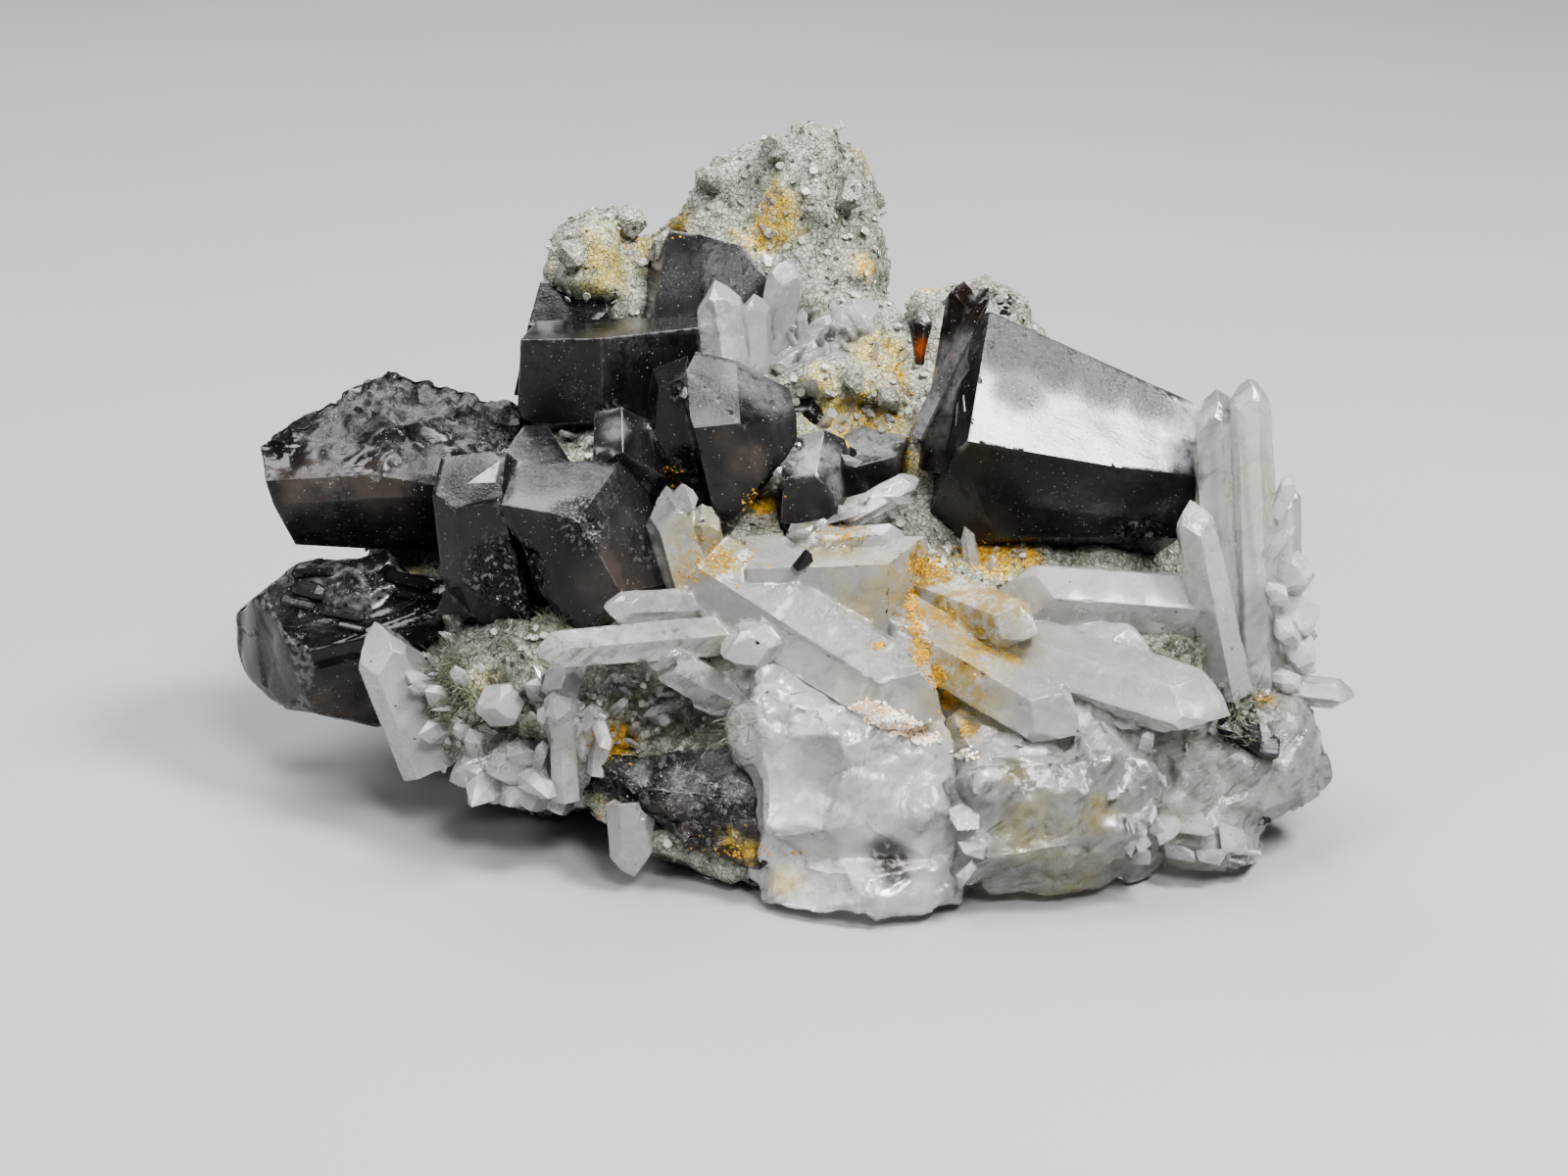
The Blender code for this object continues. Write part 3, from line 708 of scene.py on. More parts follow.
# Tint, clearness, depth of colour, roughness of the frost, share of the veils, weight of the gloss.
QUARTZ_FINISHES = {
    "clear_quartz": ((1.0, 1.0, 1.0), 0.73, 220.0, 0.24, 0.9, 0.9),
    "veined_quartz": ((1.0, 0.985, 0.975), 0.60, 180.0, 0.30, 1.0, 0.8),
    "clouded_quartz": ((0.86, 0.875, 0.84), 0.76, 320.0, 0.26, 0.70, 0.35),
}
# Dark tone, light tone, roughness, scale of the tones, relief in millimetres.
CRUMB_FINISHES = {
    "limonite": ((0.36, 0.18, 0.018), (0.66, 0.40, 0.05), 0.9, 1.6, 0.10),
    "cream_crumbs": ((0.85, 0.64, 0.44), (0.97, 0.93, 0.86), 0.85, 1.6, 0.08),
    "chlorite": ((0.07, 0.085, 0.055), (0.26, 0.29, 0.20), 0.45, 1.2, 0.05),
    "mica": ((0.30, 0.30, 0.26), (0.60, 0.595, 0.54), 0.22, 1.2, 0.03),
}


def build_grain_group():
    """Interlocked mineral grains: a random tone for each, their height and their joints."""
    nodes, given, end = new_group(
        "mineral_grain", [("Scale", "Float", 1.0), ("Joint", "Float", 0.08)],
        [("Tone", "Float"), ("Second Tone", "Float"), ("Height", "Float"), ("Joint", "Float")])
    place = millimetres(nodes)
    bent = nodes.add("ShaderNodeTexNoise", {"Vector": place, "Scale": 1.7, "Detail": 2.0}).outputs["Color"]
    moved = nodes.add("ShaderNodeVectorMath", {0: bent, 3: 0.45}, operation="SCALE").outputs[0]
    place = nodes.add("ShaderNodeVectorMath", {0: place, 1: moved}, operation="ADD").outputs[0]
    grains = nodes.cells(place, given["Scale"])
    joints = nodes.cells(place, given["Scale"], "DISTANCE_TO_EDGE")
    tones = nodes.three(grains.outputs["Color"])
    rim = nodes.span(joints.outputs["Distance"], 0.0, given["Joint"])
    nodes.put(end.inputs["Tone"], tones[0])
    nodes.put(end.inputs["Second Tone"], tones[1])
    nodes.put(end.inputs["Height"], nodes.math("ADD", nodes.times(tones[2], 0.6), nodes.times(rim, 0.4)))
    nodes.put(end.inputs["Joint"], rim)


def build_dust_group():
    """Pale specks of dust and tiny chips, thick in some patches and thin in others."""
    nodes, given, end = new_group(
        "dust_specks", [("Scale", "Float", 4.0), ("Amount", "Float", 0.5)], [("Mask", "Float")])
    place = millimetres(nodes)
    specks = nodes.cells(place, given["Scale"])
    size = nodes.three(specks.outputs["Color"])
    limit = nodes.times(nodes.math("POWER", size[0], 5.0), 0.34)
    dot = nodes.math("LESS_THAN", specks.outputs["Distance"], limit)
    patch = nodes.patches(place, 0.38, 0.72, 0.35, 2.0)
    share = nodes.times(nodes.math("ADD", patch, 0.25), given["Amount"])
    nodes.put(end.inputs["Mask"], nodes.times(dot, nodes.math("LESS_THAN", size[1], share)))


def build_growth_group():
    """The fine steps and lines of a growth face, along its longest edge or across it."""
    nodes, given, end = new_group(
        "growth_lines", [("Spacing", "Float", 2.0), ("Wander", "Float", 0.4), ("Crosswise", "Float", 0.0)],
        [("Height", "Float"), ("Lines", "Float"), ("Face Tone", "Float")])
    face = nodes.add("ShaderNodeAttribute", attribute_name="growth_face").outputs["Vector"]
    parts = nodes.add("ShaderNodeSeparateXYZ", {0: face}).outputs
    wander = nodes.times(nodes.noise(millimetres(nodes), 0.5, 2.0), given["Wander"])
    run = nodes.mix_value(given["Crosswise"], parts[1], parts[0])
    other = nodes.mix_value(given["Crosswise"], parts[0], parts[1])
    across = nodes.times(nodes.math("ADD", run, wander), given["Spacing"])
    slow = nodes.times(other, 0.12)
    place = nodes.add("ShaderNodeCombineXYZ", {0: across, 1: slow, 2: parts[2]}).outputs[0]
    lines = nodes.noise(place, 1.0, 4.0, 0.65)
    steps = nodes.math("SNAP", nodes.noise(place, 0.35, 1.0), 0.09)
    nodes.put(end.inputs["Height"], nodes.math("ADD", nodes.times(lines, 0.5), steps))
    nodes.put(end.inputs["Lines"], nodes.span(lines, 0.42, 0.62))
    number = nodes.math("ROUND", parts[2])
    tone = nodes.add("ShaderNodeTexWhiteNoise", {"W": number}, noise_dimensions="1D").outputs["Value"]
    nodes.put(end.inputs["Face Tone"], tone)


def build_stain_group():
    """The ochre stain that water leaves in the rock's hollows."""
    nodes, given, end = new_group(
        "ochre_stain", [("Ochre", "Color", (0.6, 0.33, 0.06, 1.0)), ("Base", "Color", None)],
        [("Colour", "Color"), ("Mask", "Float")])
    place = millimetres(nodes)
    crust = nodes.patches(place, 0.36, 0.60, 1.6, 5.0, 0.62)
    strength = nodes.span(nodes.zone("ochre"), 0.35, 0.85, 0.0, 1.35)
    mask = nodes.times(strength, crust, clamp=True)
    yellow = nodes.mix(nodes.patches(place, 0.35, 0.65, 2.6, 4.0), given["Ochre"], YELLOW_OCHRE)
    rust = nodes.mix(nodes.patches(place, 0.55, 0.72, 1.1, 3.0), yellow, RUST)
    spread = nodes.times(nodes.zone("ochre"), nodes.patches(place, 0.34, 0.60, 0.8, 4.0))
    film = nodes.mix(spread, given["Base"], OCHRE_FILM)
    nodes.put(end.inputs["Colour"], nodes.mix(mask, film, rust))
    nodes.put(end.inputs["Mask"], mask)


def new_material(name):
    """An empty material with its output, its shader and its tree's helper."""
    material = bpy.data.materials.new(name)
    material.use_nodes = True
    material.node_tree.nodes.clear()
    nodes = NodeTree(material.node_tree)
    output = nodes.add("ShaderNodeOutputMaterial")
    shader = nodes.add("ShaderNodeBsdfPrincipled")
    nodes.put(output.inputs["Surface"], shader.outputs[0])
    return nodes, shader, output


def bump(nodes, height, distance, strength=1.0, normal=None):
    """A Bump node; distance is in millimetres."""
    values = {"Height": height, "Distance": distance * MM, "Strength": strength}
    if normal is not None:
        values["Normal"] = normal
    return nodes.add("ShaderNodeBump", values).outputs[0]


def feed(nodes, shader, colour, rough, normal, ior=PLAIN_IOR):
    """Gives a shader its colour, roughness and normal."""
    nodes.put(shader.inputs["Base Color"], colour)
    nodes.put(shader.inputs["Roughness"], rough)
    nodes.put(shader.inputs["Normal"], normal)
    shader.inputs["IOR"].default_value = ior


def toned(colour, *shares):
    """A colour with its red, green and blue scaled."""
    return tuple(part * share for part, share in zip(colour, shares))


def greisen_material(settings):
    """Pale rock of interlocked quartz, mica and a little chlorite."""
    nodes, shader, _ = new_material("rough_greisen")
    place = millimetres(nodes)
    coarse = nodes.group("mineral_grain", {"Scale": 0.95, "Joint": 0.09}).outputs
    fine = nodes.group("mineral_grain", {"Scale": 2.7, "Joint": 0.12}).outputs
    rock = tuple(settings.rock_colour)
    tones = [
        (0.0, toned(rock, 0.22, 0.25, 0.20)), (0.14, toned(rock, 0.55, 0.60, 0.50)), (0.40, rock),
        (0.72, toned(rock, 1.32, 1.32, 1.36)), (1.0, toned(rock, 1.75, 1.74, 1.85)),
    ]
    colour = nodes.mix(0.55, nodes.ramp(coarse["Tone"], tones), nodes.ramp(fine["Tone"], tones))
    veil = nodes.patches(place, 0.35, 0.75, 0.22, 4.0, 0.6, out=(0.0, 0.45))
    colour = nodes.mix(veil, colour, toned(rock, 1.5, 1.48, 1.5))
    specks = nodes.cells(place, 1.7)
    kinds = nodes.three(specks.outputs["Color"])
    dark = nodes.times(nodes.math("GREATER_THAN", kinds[0], 0.86),
                       nodes.math("LESS_THAN", specks.outputs["Distance"], 0.34))
    colour = nodes.tint(colour, dark, 0.85, DARK_GRAIN)
    green = nodes.times(nodes.zone("chlorite"), nodes.patches(place, 0.34, 0.62, 0.9, 4.0))
    colour = nodes.tint(colour, green, 0.8, ROCK_CHLORITE)
    colour = nodes.tint(colour, nodes.math("SUBTRACT", 1.0, coarse["Joint"]), 0.35, GRAIN_JOINT)
    stain = nodes.group("ochre_stain", {"Ochre": settings.ochre_colour, "Base": colour}).outputs
    rough = nodes.mix_value(nodes.math("GREATER_THAN", coarse["Second Tone"], 0.55), 0.82, 0.32)
    rough = nodes.mix_value(nodes.math("GREATER_THAN", fine["Second Tone"], 0.90), rough, 0.12)
    rough = nodes.mix_value(stain["Mask"], rough, 0.92)
    crumbs = nodes.noise(place, 5.5, 4.0, 0.65)
    normal = bump(nodes, crumbs, 0.16, 0.8, bump(nodes, fine["Height"], 0.22))
    feed(nodes, shader, stain["Colour"], rough, normal, ROCK_IOR)


def cassiterite_material(settings, name, body, inner, warm):
    """Black, brilliant crystal: mirror-like faces with growth lines, etched patches and dust, a painted
    sheen in some spots, edges lightened partly by wear and partly as a painted glint, and grit specks that
    are partly painted glitter.
    """
    nodes, shader, _ = new_material(name)
    place = millimetres(nodes)
    etched, broken = nodes.zone("etched"), nodes.zone("broken")
    growth = nodes.group("growth_lines", {"Spacing": 1.3, "Wander": 1.0}).outputs
    glitter = nodes.group("mineral_grain", {"Scale": 3.8, "Joint": 0.10}).outputs
    colour = nodes.tint(body, nodes.patches(place, 0.42, 0.75, 0.28, 3.0), 0.8, inner)
    dull = nodes.span(growth["Face Tone"], 0.45, 0.80)
    colour = nodes.tint(colour, dull, 0.35, DULL_FACE)
    drawn = nodes.times(growth["Lines"], nodes.patches(place, 0.40, 0.70, 0.5, 3.0))
    colour = nodes.tint(colour, drawn, 0.22, GROWTH_LINE)
    smudge = nodes.times(nodes.patches(place, 0.50, 0.68, 0.9, 7.0, 0.75, 0.4),
                         nodes.patches(place, 0.42, 0.58, 7.0, 3.0, 0.7))
    colour = nodes.tint(colour, smudge, 0.22, SMUDGE)
    # Edges lightened partly as wear and partly as a painted glint.
    edge = nodes.times(nodes.zone("edge"), nodes.patches(place, 0.36, 0.62, 2.2, 4.0))
    colour = nodes.tint(colour, edge, 0.55, EDGE_WEAR_AND_GLINT)
    mottle = nodes.noise(place, 1.3, 7.0, 0.72, 0.7)
    fine = nodes.patches(place, 0.40, 0.60, 5.5, 4.0, 0.7, out=(0.35, 1.0))
    frost = nodes.times(etched, nodes.times(nodes.span(mottle, 0.42, 0.57), fine))
    colour = nodes.tint(colour, frost, 0.40, ETCHED_FACE)
    # Light grey specks on the broken patches: partly crushed grit, partly painted glitter.
    grit_and_glitter = nodes.times(broken, nodes.math("GREATER_THAN", glitter["Tone"], 0.76))
    colour = nodes.tint(colour, grit_and_glitter, 0.6, GRIT_AND_GLITTER_GREY)
    # A painted sheen: light grey laid over the black where the pale zone is.
    pale = nodes.times(nodes.zone("pale"), nodes.patches(place, 0.2, 0.6, 2.0, 5.0, 0.7))
    colour = nodes.tint(colour, pale, 0.85, PAINTED_SHEEN_GREY)
    brown = nodes.times(nodes.zone("brown"), nodes.patches(place, 0.2, 0.75, 0.5, 3.0, 0.5))
    colour = nodes.tint(colour, brown, 0.75, warm)
    dust = nodes.group("dust_specks", {"Scale": 6.0, "Amount": 1.3}).outputs["Mask"]
    colour = nodes.tint(colour, dust, 0.6, CRYSTAL_DUST)
    stain = nodes.group("ochre_stain", {"Ochre": settings.ochre_colour, "Base": colour}).outputs
    rough = nodes.patches(place, 0.32, 0.72, 0.7, 6.0, 0.66, out=(0.05, 0.20))
    rough = nodes.mix_value(nodes.times(dull, 0.5), rough, 0.34)
    rough = nodes.mix_value(nodes.math("MAXIMUM", frost, nodes.times(edge, 0.6)), rough, 0.38)
    sparkle = nodes.span(glitter["Second Tone"], 0.0, 1.0, 0.08, 0.45)
    rough = nodes.mix_value(nodes.times(broken, 0.8), rough, sparkle)
    rough = nodes.mix_value(nodes.times(brown, 0.7), rough, 0.5)
    rough = nodes.mix_value(nodes.math("MAXIMUM", dust, stain["Mask"]), rough, 0.85)
    wear = nodes.times(nodes.noise(place, 5.0, 4.0, 0.62), nodes.math("ADD", etched, 0.22))
    normal = bump(nodes, growth["Height"], 0.02, 0.8)
    normal = bump(nodes, wear, 0.045, 1.0, normal)
    normal = bump(nodes, nodes.times(mottle, etched), 0.035, 1.0, normal)
    normal = bump(nodes, nodes.times(glitter["Height"], broken), 0.20, 1.0, normal)
    feed(nodes, shader, stain["Colour"], rough, normal, BLACK_IOR)


def quartz_material(settings, name, tint, clearness, density, frost_high, veil_share, gloss_high):
    """Quartz: see-through where it is thin, veiled inside and frosted on its faces."""
    nodes, shader, output = new_material(name)
    place = millimetres(nodes)
    base = toned(settings.quartz_colour, *tint)
    green = nodes.zone("chlorite")
    growth = nodes.group("growth_lines", {"Spacing": 2.2, "Wander": 0.4, "Crosswise": 1.0}).outputs
    frosted = nodes.span(growth["Face Tone"], 0.25, 0.75)
    colour = nodes.mix(frosted, toned(base, 0.72, 0.715, 0.72), base)
    veils = nodes.patches(place, 0.40, 0.62, 0.5, 5.0, 0.62, 0.8)
    cloud = nodes.times(veils, nodes.math("ADD", frosted, 0.25), clamp=True)
    colour = nodes.tint(colour, cloud, veil_share, QUARTZ_CLOUD)
    wisps = nodes.patches(place, 0.54, 0.72, 1.6, 6.0, 0.7, 0.6, out=(0.0, 0.55))
    colour = nodes.mix(wisps, colour, toned(base, 0.50, 0.51, 0.50))
    colour = nodes.mix(nodes.patches(place, 0.42, 0.62, 0.09, 2.0, out=(0.0, 0.45)), colour, WARM_CLOUD)
    drawn = nodes.add(
        "ShaderNodeMapping", {"Vector": place, "Rotation": (0.0, -0.64, 0.0), "Scale": (3.2, 0.9, 0.42)},
        vector_type="TEXTURE").outputs[0]
    fibres = nodes.patches(drawn, 0.52, 0.64, 1.0, 5.0, 0.7, 0.4, out=(0.0, 0.85))
    colour = nodes.mix(nodes.times(fibres, nodes.math("ADD", green, 0.15)), colour, QUARTZ_FIBRE)
    murk = nodes.times(green, nodes.patches(place, 0.40, 0.66, 1.1, 5.0, 0.65))
    colour = nodes.tint(colour, murk, 0.75, QUARTZ_CHLORITE)
    dark = nodes.times(nodes.zone("inclusion"), nodes.patches(place, 0.28, 0.5, 1.4, 5.0, 0.6))
    colour = nodes.mix(dark, colour, INCLUSION)
    dust = nodes.group("dust_specks", {"Scale": 2.6, "Amount": 0.22}).outputs["Mask"]
    colour = nodes.tint(colour, dust, 0.8, QUARTZ_DUST)
    stain = nodes.group("ochre_stain", {"Ochre": settings.ochre_colour, "Base": colour}).outputs
    rough = nodes.patches(place, 0.36, 0.68, 0.9, 6.0, 0.66, out=(0.03, frost_high))
    rough = nodes.times(rough, nodes.math("ADD", frosted, 0.45), clamp=True)
    worn = nodes.math("MAXIMUM", nodes.zone("etched"), stain["Mask"])
    rough = nodes.mix_value(worn, rough, 0.7)
    gloss = nodes.mix_value(frosted, gloss_high, gloss_high * 0.4)
    lines = bump(nodes, growth["Height"], 0.025, 0.8)
    normal = bump(nodes, nodes.noise(place, 3.5, 6.0, 0.68), 0.05, 0.7, lines)
    feed(nodes, shader, stain["Colour"], rough, normal, QUARTZ_IOR)
    nodes.put(shader.inputs["Coat Weight"], nodes.times(gloss, nodes.math("SUBTRACT", 1.0, worn)))
    shader.inputs["Transmission Weight"].default_value = clearness
    shader.inputs["Coat Roughness"].default_value = 0.07
    haze = nodes.add("ShaderNodeVolumeAbsorption", {"Color": QUARTZ_DEPTH, "Density": density})
    nodes.put(output.inputs["Volume"], haze.outputs[0])


def crumb_material(name, low, high, rough, fineness, relief):
    """An earthy or platy small mineral, in two tones."""
    nodes, shader, _ = new_material(name)
    place = millimetres(nodes)
    tone = nodes.noise(place, fineness, 4.0, 0.6)
    colour = nodes.mix(nodes.span(tone, 0.35, 0.65), low, high)
    roughness = nodes.span(tone, 0.3, 0.7, rough * 0.85, min(rough * 1.15, 1.0))
    feed(nodes, shader, colour, roughness, bump(nodes, nodes.noise(place, fineness * 3.0, 4.0), relief))


def tourmaline_material():
    """Black with long ridges along its length."""
    nodes, shader, _ = new_material("ridged_tourmaline")
    growth = nodes.group("growth_lines", {"Spacing": 5.0, "Wander": 0.1}).outputs
    colour = nodes.mix(nodes.patches(millimetres(nodes), 0.4, 0.7, 1.2), BLACK_TOURMALINE, GREY_TOURMALINE)
    rough = nodes.span(growth["Lines"], 0.0, 1.0, 0.12, 0.4)
    feed(nodes, shader, colour, rough, bump(nodes, growth["Height"], 0.12), TOURMALINE_IOR)


def floor_material(settings):
    """Plain pale board."""
    nodes, shader, _ = new_material("pale_floor")
    place = millimetres(nodes)
    pale = tuple(settings.floor_colour)
    colour = nodes.mix(nodes.patches(place, 0.3, 0.7, 0.02, 3.0), pale, toned(pale, 0.97, 0.97, 0.975))
    rough = nodes.patches(place, 0.3, 0.7, 1.5, out=(0.72, 0.82))
    feed(nodes, shader, colour, rough, bump(nodes, nodes.noise(place, 3.0), 0.02))


def bevelled(bm, width):
    """Rounds the outer edges between broad faces, as handling wears them."""
    sharp = [
        edge for edge in bm.edges
        if len(edge.link_faces) == 2 and edge.is_convex and edge.calc_length() > WORN_LENGTH * width
        and edge.calc_face_angle(0) > math.radians(WORN_TURN)
        and min(face.calc_area() for face in edge.link_faces) > WORN_AREA * width * width
    ]
    bmesh.ops.bevel(
        bm, geom=sharp, offset=width, offset_type="OFFSET", segments=2, profile=0.55,
        affect="EDGES", clamp_overlap=True)


def refine(bm, longest):
    """Splits every edge that is longer than the given length."""
    bmesh.ops.triangulate(bm, faces=bm.faces)
    for _ in range(MOST_SPLITS):
        long_edges = [edge for edge in bm.edges if edge.calc_length() > longest]
        if not long_edges:
            break
        bmesh.ops.subdivide_edges(bm, edges=long_edges, cuts=1)
        bmesh.ops.triangulate(bm, faces=[face for face in bm.faces if len(face.verts) > 3])


def fine_crystal(node, settings, share=1.0):
    """A packed crystal with worn edges and evenly split flat faces, and its whole faces."""
    bm = whole_faces(node)
    source = bm.copy()
    bevelled(bm, settings.edge_width * share)
    refine(bm, settings.crystal_mesh)
    bm.normal_update()
    mesh = bpy.data.meshes.new(node)
    bm.to_mesh(mesh)
    bm.free()
    return mesh, source


def uneven_faces(points, height):
    """Low swells that keep a growth face from being a perfect plane."""
    return height * (0.6 * wave(points, 5.0, 2.0) + 0.4 * wave(points, 1.8, 3.0))


def melted(points, height):
    """Rounded glossy bosses, as on a crystal that water has partly dissolved."""
    near, second, _, _ = cracks(points + wave(points, 2.0, 5.0)[:, None] * 0.7, 2.3, 4.0)
    return height * (smooth_step(second - near, 0.0, 0.6) - 0.6 + 0.5 * wave(points, 1.1, 6.0))


def broken_surface(points, size, height, seed):
    """Tilted flakes and notches of a broken face."""
    bent = points + drift(points, size * 1.5, seed) * size * 0.3
    _, _, centres, inside = cracks(bent, size, seed)
    flakes = (cell_values(centres, seed) * inside).sum(axis=1) + 0.35 * cell_values(centres, seed + 9)[:, 0]
    return height * flakes


def scallops(points, size, height, seed):
    """Shell-like hollows with sharp rims, as quartz breaks."""
    bent = points + drift(points, size, seed) * size * 0.25
    near, _, centres, _ = cracks(bent, size, seed)
    return height * (near * near * 1.6 - 0.45 + 0.5 * cell_values(centres, seed)[:, 0])


def grooves(points, along, spacing, height, seed):
    """Ridges that run in one direction."""
    way = np.array(Vector(along).normalized())
    flat = points - np.outer(points @ way, way) * 0.93
    return height * wave(flat, spacing, seed)


ETCHED_SPOTS = {
    "cassiterite_large": [
        (1025, 350, 3.6, 1.0), (1075, 365, 3.6, 1.0), (1125, 385, 3.2, 0.9), (1040, 395, 2.6, 0.6),
        (1170, 405, 2.4, 0.8), (1208, 430, 2.0, 1.0), (1204, 462, 1.6, 1.0), (975, 400, 2.4, 0.5),
    ],
    "cassiterite_front_twin": [
        (560, 485, 3.2, 1.0), (610, 490, 2.6, 1.0), (540, 455, 2.4, 0.9), (480, 485, 2.0, 0.8),
        (590, 535, 2.0, 0.8),
    ],
    "cassiterite_left_large": [
        (430, 405, 5.5, 1.0), (500, 420, 4.0, 1.0), (350, 425, 4.5, 0.9), (400, 360, 4.0, 1.0),
        (330, 500, 3.0, 0.5), (480, 390, 4.0, 1.0), (420, 460, 3.0, 0.8),
    ],
    "cassiterite_centre": [(705, 400, 2.0, 0.9), (750, 400, 2.6, 0.6)],
    "cassiterite_back_block": [(640, 340, 3.0, 0.7), (560, 360, 3.0, 0.4), (600, 410, 2.6, 0.5)],
    "cassiterite_back_pyramid": [(690, 280, 2.4, 0.5), (740, 270, 3.4, 0.6)],
    "cassiterite_lower_left": [(300, 600, 3.0, 0.25)],
    "cassiterite_front_broken": [(720, 790, 3.0, 0.6), (760, 830, 2.6, 0.8), (650, 780, 2.0, 0.5)],
    "cassiterite_chip_back": [(875, 460, 2.0, 0.6)],
}
BROWN_SPOTS = {
    "cassiterite_large": [
        (985, 520, 3.4, 1.0), (958, 450, 2.8, 0.7), (960, 540, 3.0, 0.9), (1010, 545, 2.0, 0.6),
    ],
    "cassiterite_centre": [(762, 468, 2.0, 1.0), (745, 450, 1.6, 0.5), (735, 500, 1.8, 0.5)],
    "cassiterite_left_large": [(320, 505, 3.6, 0.9), (390, 500, 3.0, 0.8), (280, 500, 2.4, 0.6)],
    "cassiterite_front_twin": [(620, 600, 3.4, 0.7), (560, 520, 2.0, 0.5)],
    "cassiterite_lower_left": [(340, 720, 3.0, 0.7)],
    "cassiterite_front_broken": [(690, 840, 2.4, 0.7), (750, 860, 2.4, 1.0), (620, 770, 1.6, 0.8)],
    "cassiterite_chip_back": [(872, 472, 1.2, 1.0)],
    "cassiterite_flat_plate": [(892, 450, 1.4, 0.5)],
    "cassiterite_brown_wedge": [(941, 357, 1.0, 0.9)],
    "cassiterite_blades": [(968, 365, 0.5, 0.15)],
}
# Spots, given by pixel, where a black crystal's colour is lightened as a painted sheen. On the large
# crystal they also stand in for the reflection of the key light where a quartz spire blocks it.
PAINTED_SHEEN_SPOTS = {
    "cassiterite_large": [
        (1202, 464, 1.5, 0.8), (1208, 446, 2.0, 0.8), (1214, 424, 1.6, 0.5), (972, 515, 2.0, 0.14),
        (985, 545, 1.8, 0.12), (962, 480, 1.6, 0.12),
    ],
    "cassiterite_blades": [
        (945, 440, 2.2, 0.42), (950, 420, 2.2, 0.42), (960, 465, 2.2, 0.40), (972, 400, 2.2, 0.34),
        (962, 370, 2.0, 0.30), (980, 360, 2.0, 0.26),
    ],
    "cassiterite_centre": [(765, 385, 2.6, 0.26), (785, 405, 2.2, 0.22)],
    "cassiterite_chip_left": [(628, 438, 1.1, 0.30)],
    "cassiterite_chip_back": [(868, 452, 2.2, 0.42), (890, 440, 1.6, 0.35)],
    "cassiterite_flat_plate": [(890, 447, 2.4, 0.50), (912, 452, 2.0, 0.45), (875, 455, 2.0, 0.45)],
    "cassiterite_chip_right": [(825, 470, 1.6, 0.40), (845, 465, 1.4, 0.35), (855, 495, 1.2, 0.30)],
    "cassiterite_front_broken": [
        (735, 775, 1.8, 0.34), (700, 800, 2.0, 0.30), (755, 800, 1.4, 0.35), (650, 790, 1.2, 0.25),
    ],
}
BROKEN_SPOTS = {
    "cassiterite_front_twin": [
        (516, 585, 3.2, 1.0), (540, 615, 2.0, 0.8), (596, 530, 2.6, 1.0), (655, 560, 1.6, 0.5),
    ],
    "cassiterite_centre": [(695, 402, 0.9, 1.0), (700, 470, 1.2, 0.6)],
    "cassiterite_large": [(1160, 548, 2.0, 1.0), (1120, 560, 1.4, 0.7), (975, 420, 1.0, 0.5)],
    "cassiterite_left_large": [(444, 382, 1.5, 0.8), (510, 440, 2.0, 0.6)],
    "cassiterite_back_block": [(625, 425, 1.4, 0.7)],
    "cassiterite_lower_left": [(368, 590, 1.6, 0.5)],
}
GROWTH_BARS = [
    (302, 600, 332, 608, 1.10), (288, 612, 322, 620, 0.55), (300, 586, 340, 584, 0.60),
    (330, 624, 372, 632, 0.55), (345, 638, 372, 644, 0.40), (396, 588, 440, 598, 0.80),
    (404, 606, 446, 612, 0.50),
]
# Small flat facets, given by the pixels of their corners on a finished crystal; they are painted light grey
# as a glint.
FACET_PLATES = [
    ("black_crystal_front_twin", [(506, 493), (511, 469), (474, 495)]),
    ("black_crystal_centre", [(703, 409), (712, 398), (698, 394), (692, 404)]),
    ("black_crystal_large", [(975, 436), (986, 420), (984, 402), (976, 412)]),
]
OCHRE_SPOTS = [
    (1010, 570, 2.4, 1.0), (955, 585, 2.2, 1.0), (1045, 568, 1.8, 0.9), (935, 570, 1.4, 1.0),
    (932, 625, 1.2, 1.0), (938, 668, 1.4, 1.0), (955, 690, 1.2, 1.0), (968, 715, 1.0, 0.9),
    (990, 745, 1.4, 0.7), (965, 625, 2.0, 0.8), (1000, 655, 1.6, 0.9), (1035, 672, 1.0, 0.7),
    (985, 675, 1.4, 0.7), (1000, 700, 1.6, 0.6), (778, 515, 1.5, 1.0), (735, 570, 2.0, 0.7),
    (700, 585, 1.6, 0.6), (690, 488, 1.0, 0.9), (675, 225, 2.2, 0.9), (915, 385, 1.6, 0.6),
    (900, 430, 2.2, 0.5), (840, 380, 2.0, 0.4), (925, 470, 1.4, 0.7), (1292, 712, 0.9, 0.8),
    (626, 758, 1.6, 1.0), (742, 855, 0.9, 0.55), (764, 870, 1.0, 0.55), (640, 745, 1.0, 0.8),
    (800, 900, 1.6, 0.5), (870, 540, 1.5, 0.6), (1120, 830, 1.6, 0.5), (1040, 790, 1.5, 0.4),
    (950, 480, 2.0, 0.6), (600, 235, 2.0, 0.4), (1000, 620, 5.5, 0.62), (900, 600, 4.0, 0.45),
    (980, 700, 4.5, 0.55), (850, 560, 3.5, 0.45), (870, 440, 5.0, 0.55), (830, 500, 4.0, 0.45),
    (720, 560, 3.5, 0.5), (1100, 900, 4.0, 0.35), (640, 250, 3.0, 0.5), (620, 270, 3.0, 0.45),
    (1060, 850, 3.5, 0.35), (900, 360, 3.0, 0.5),
]
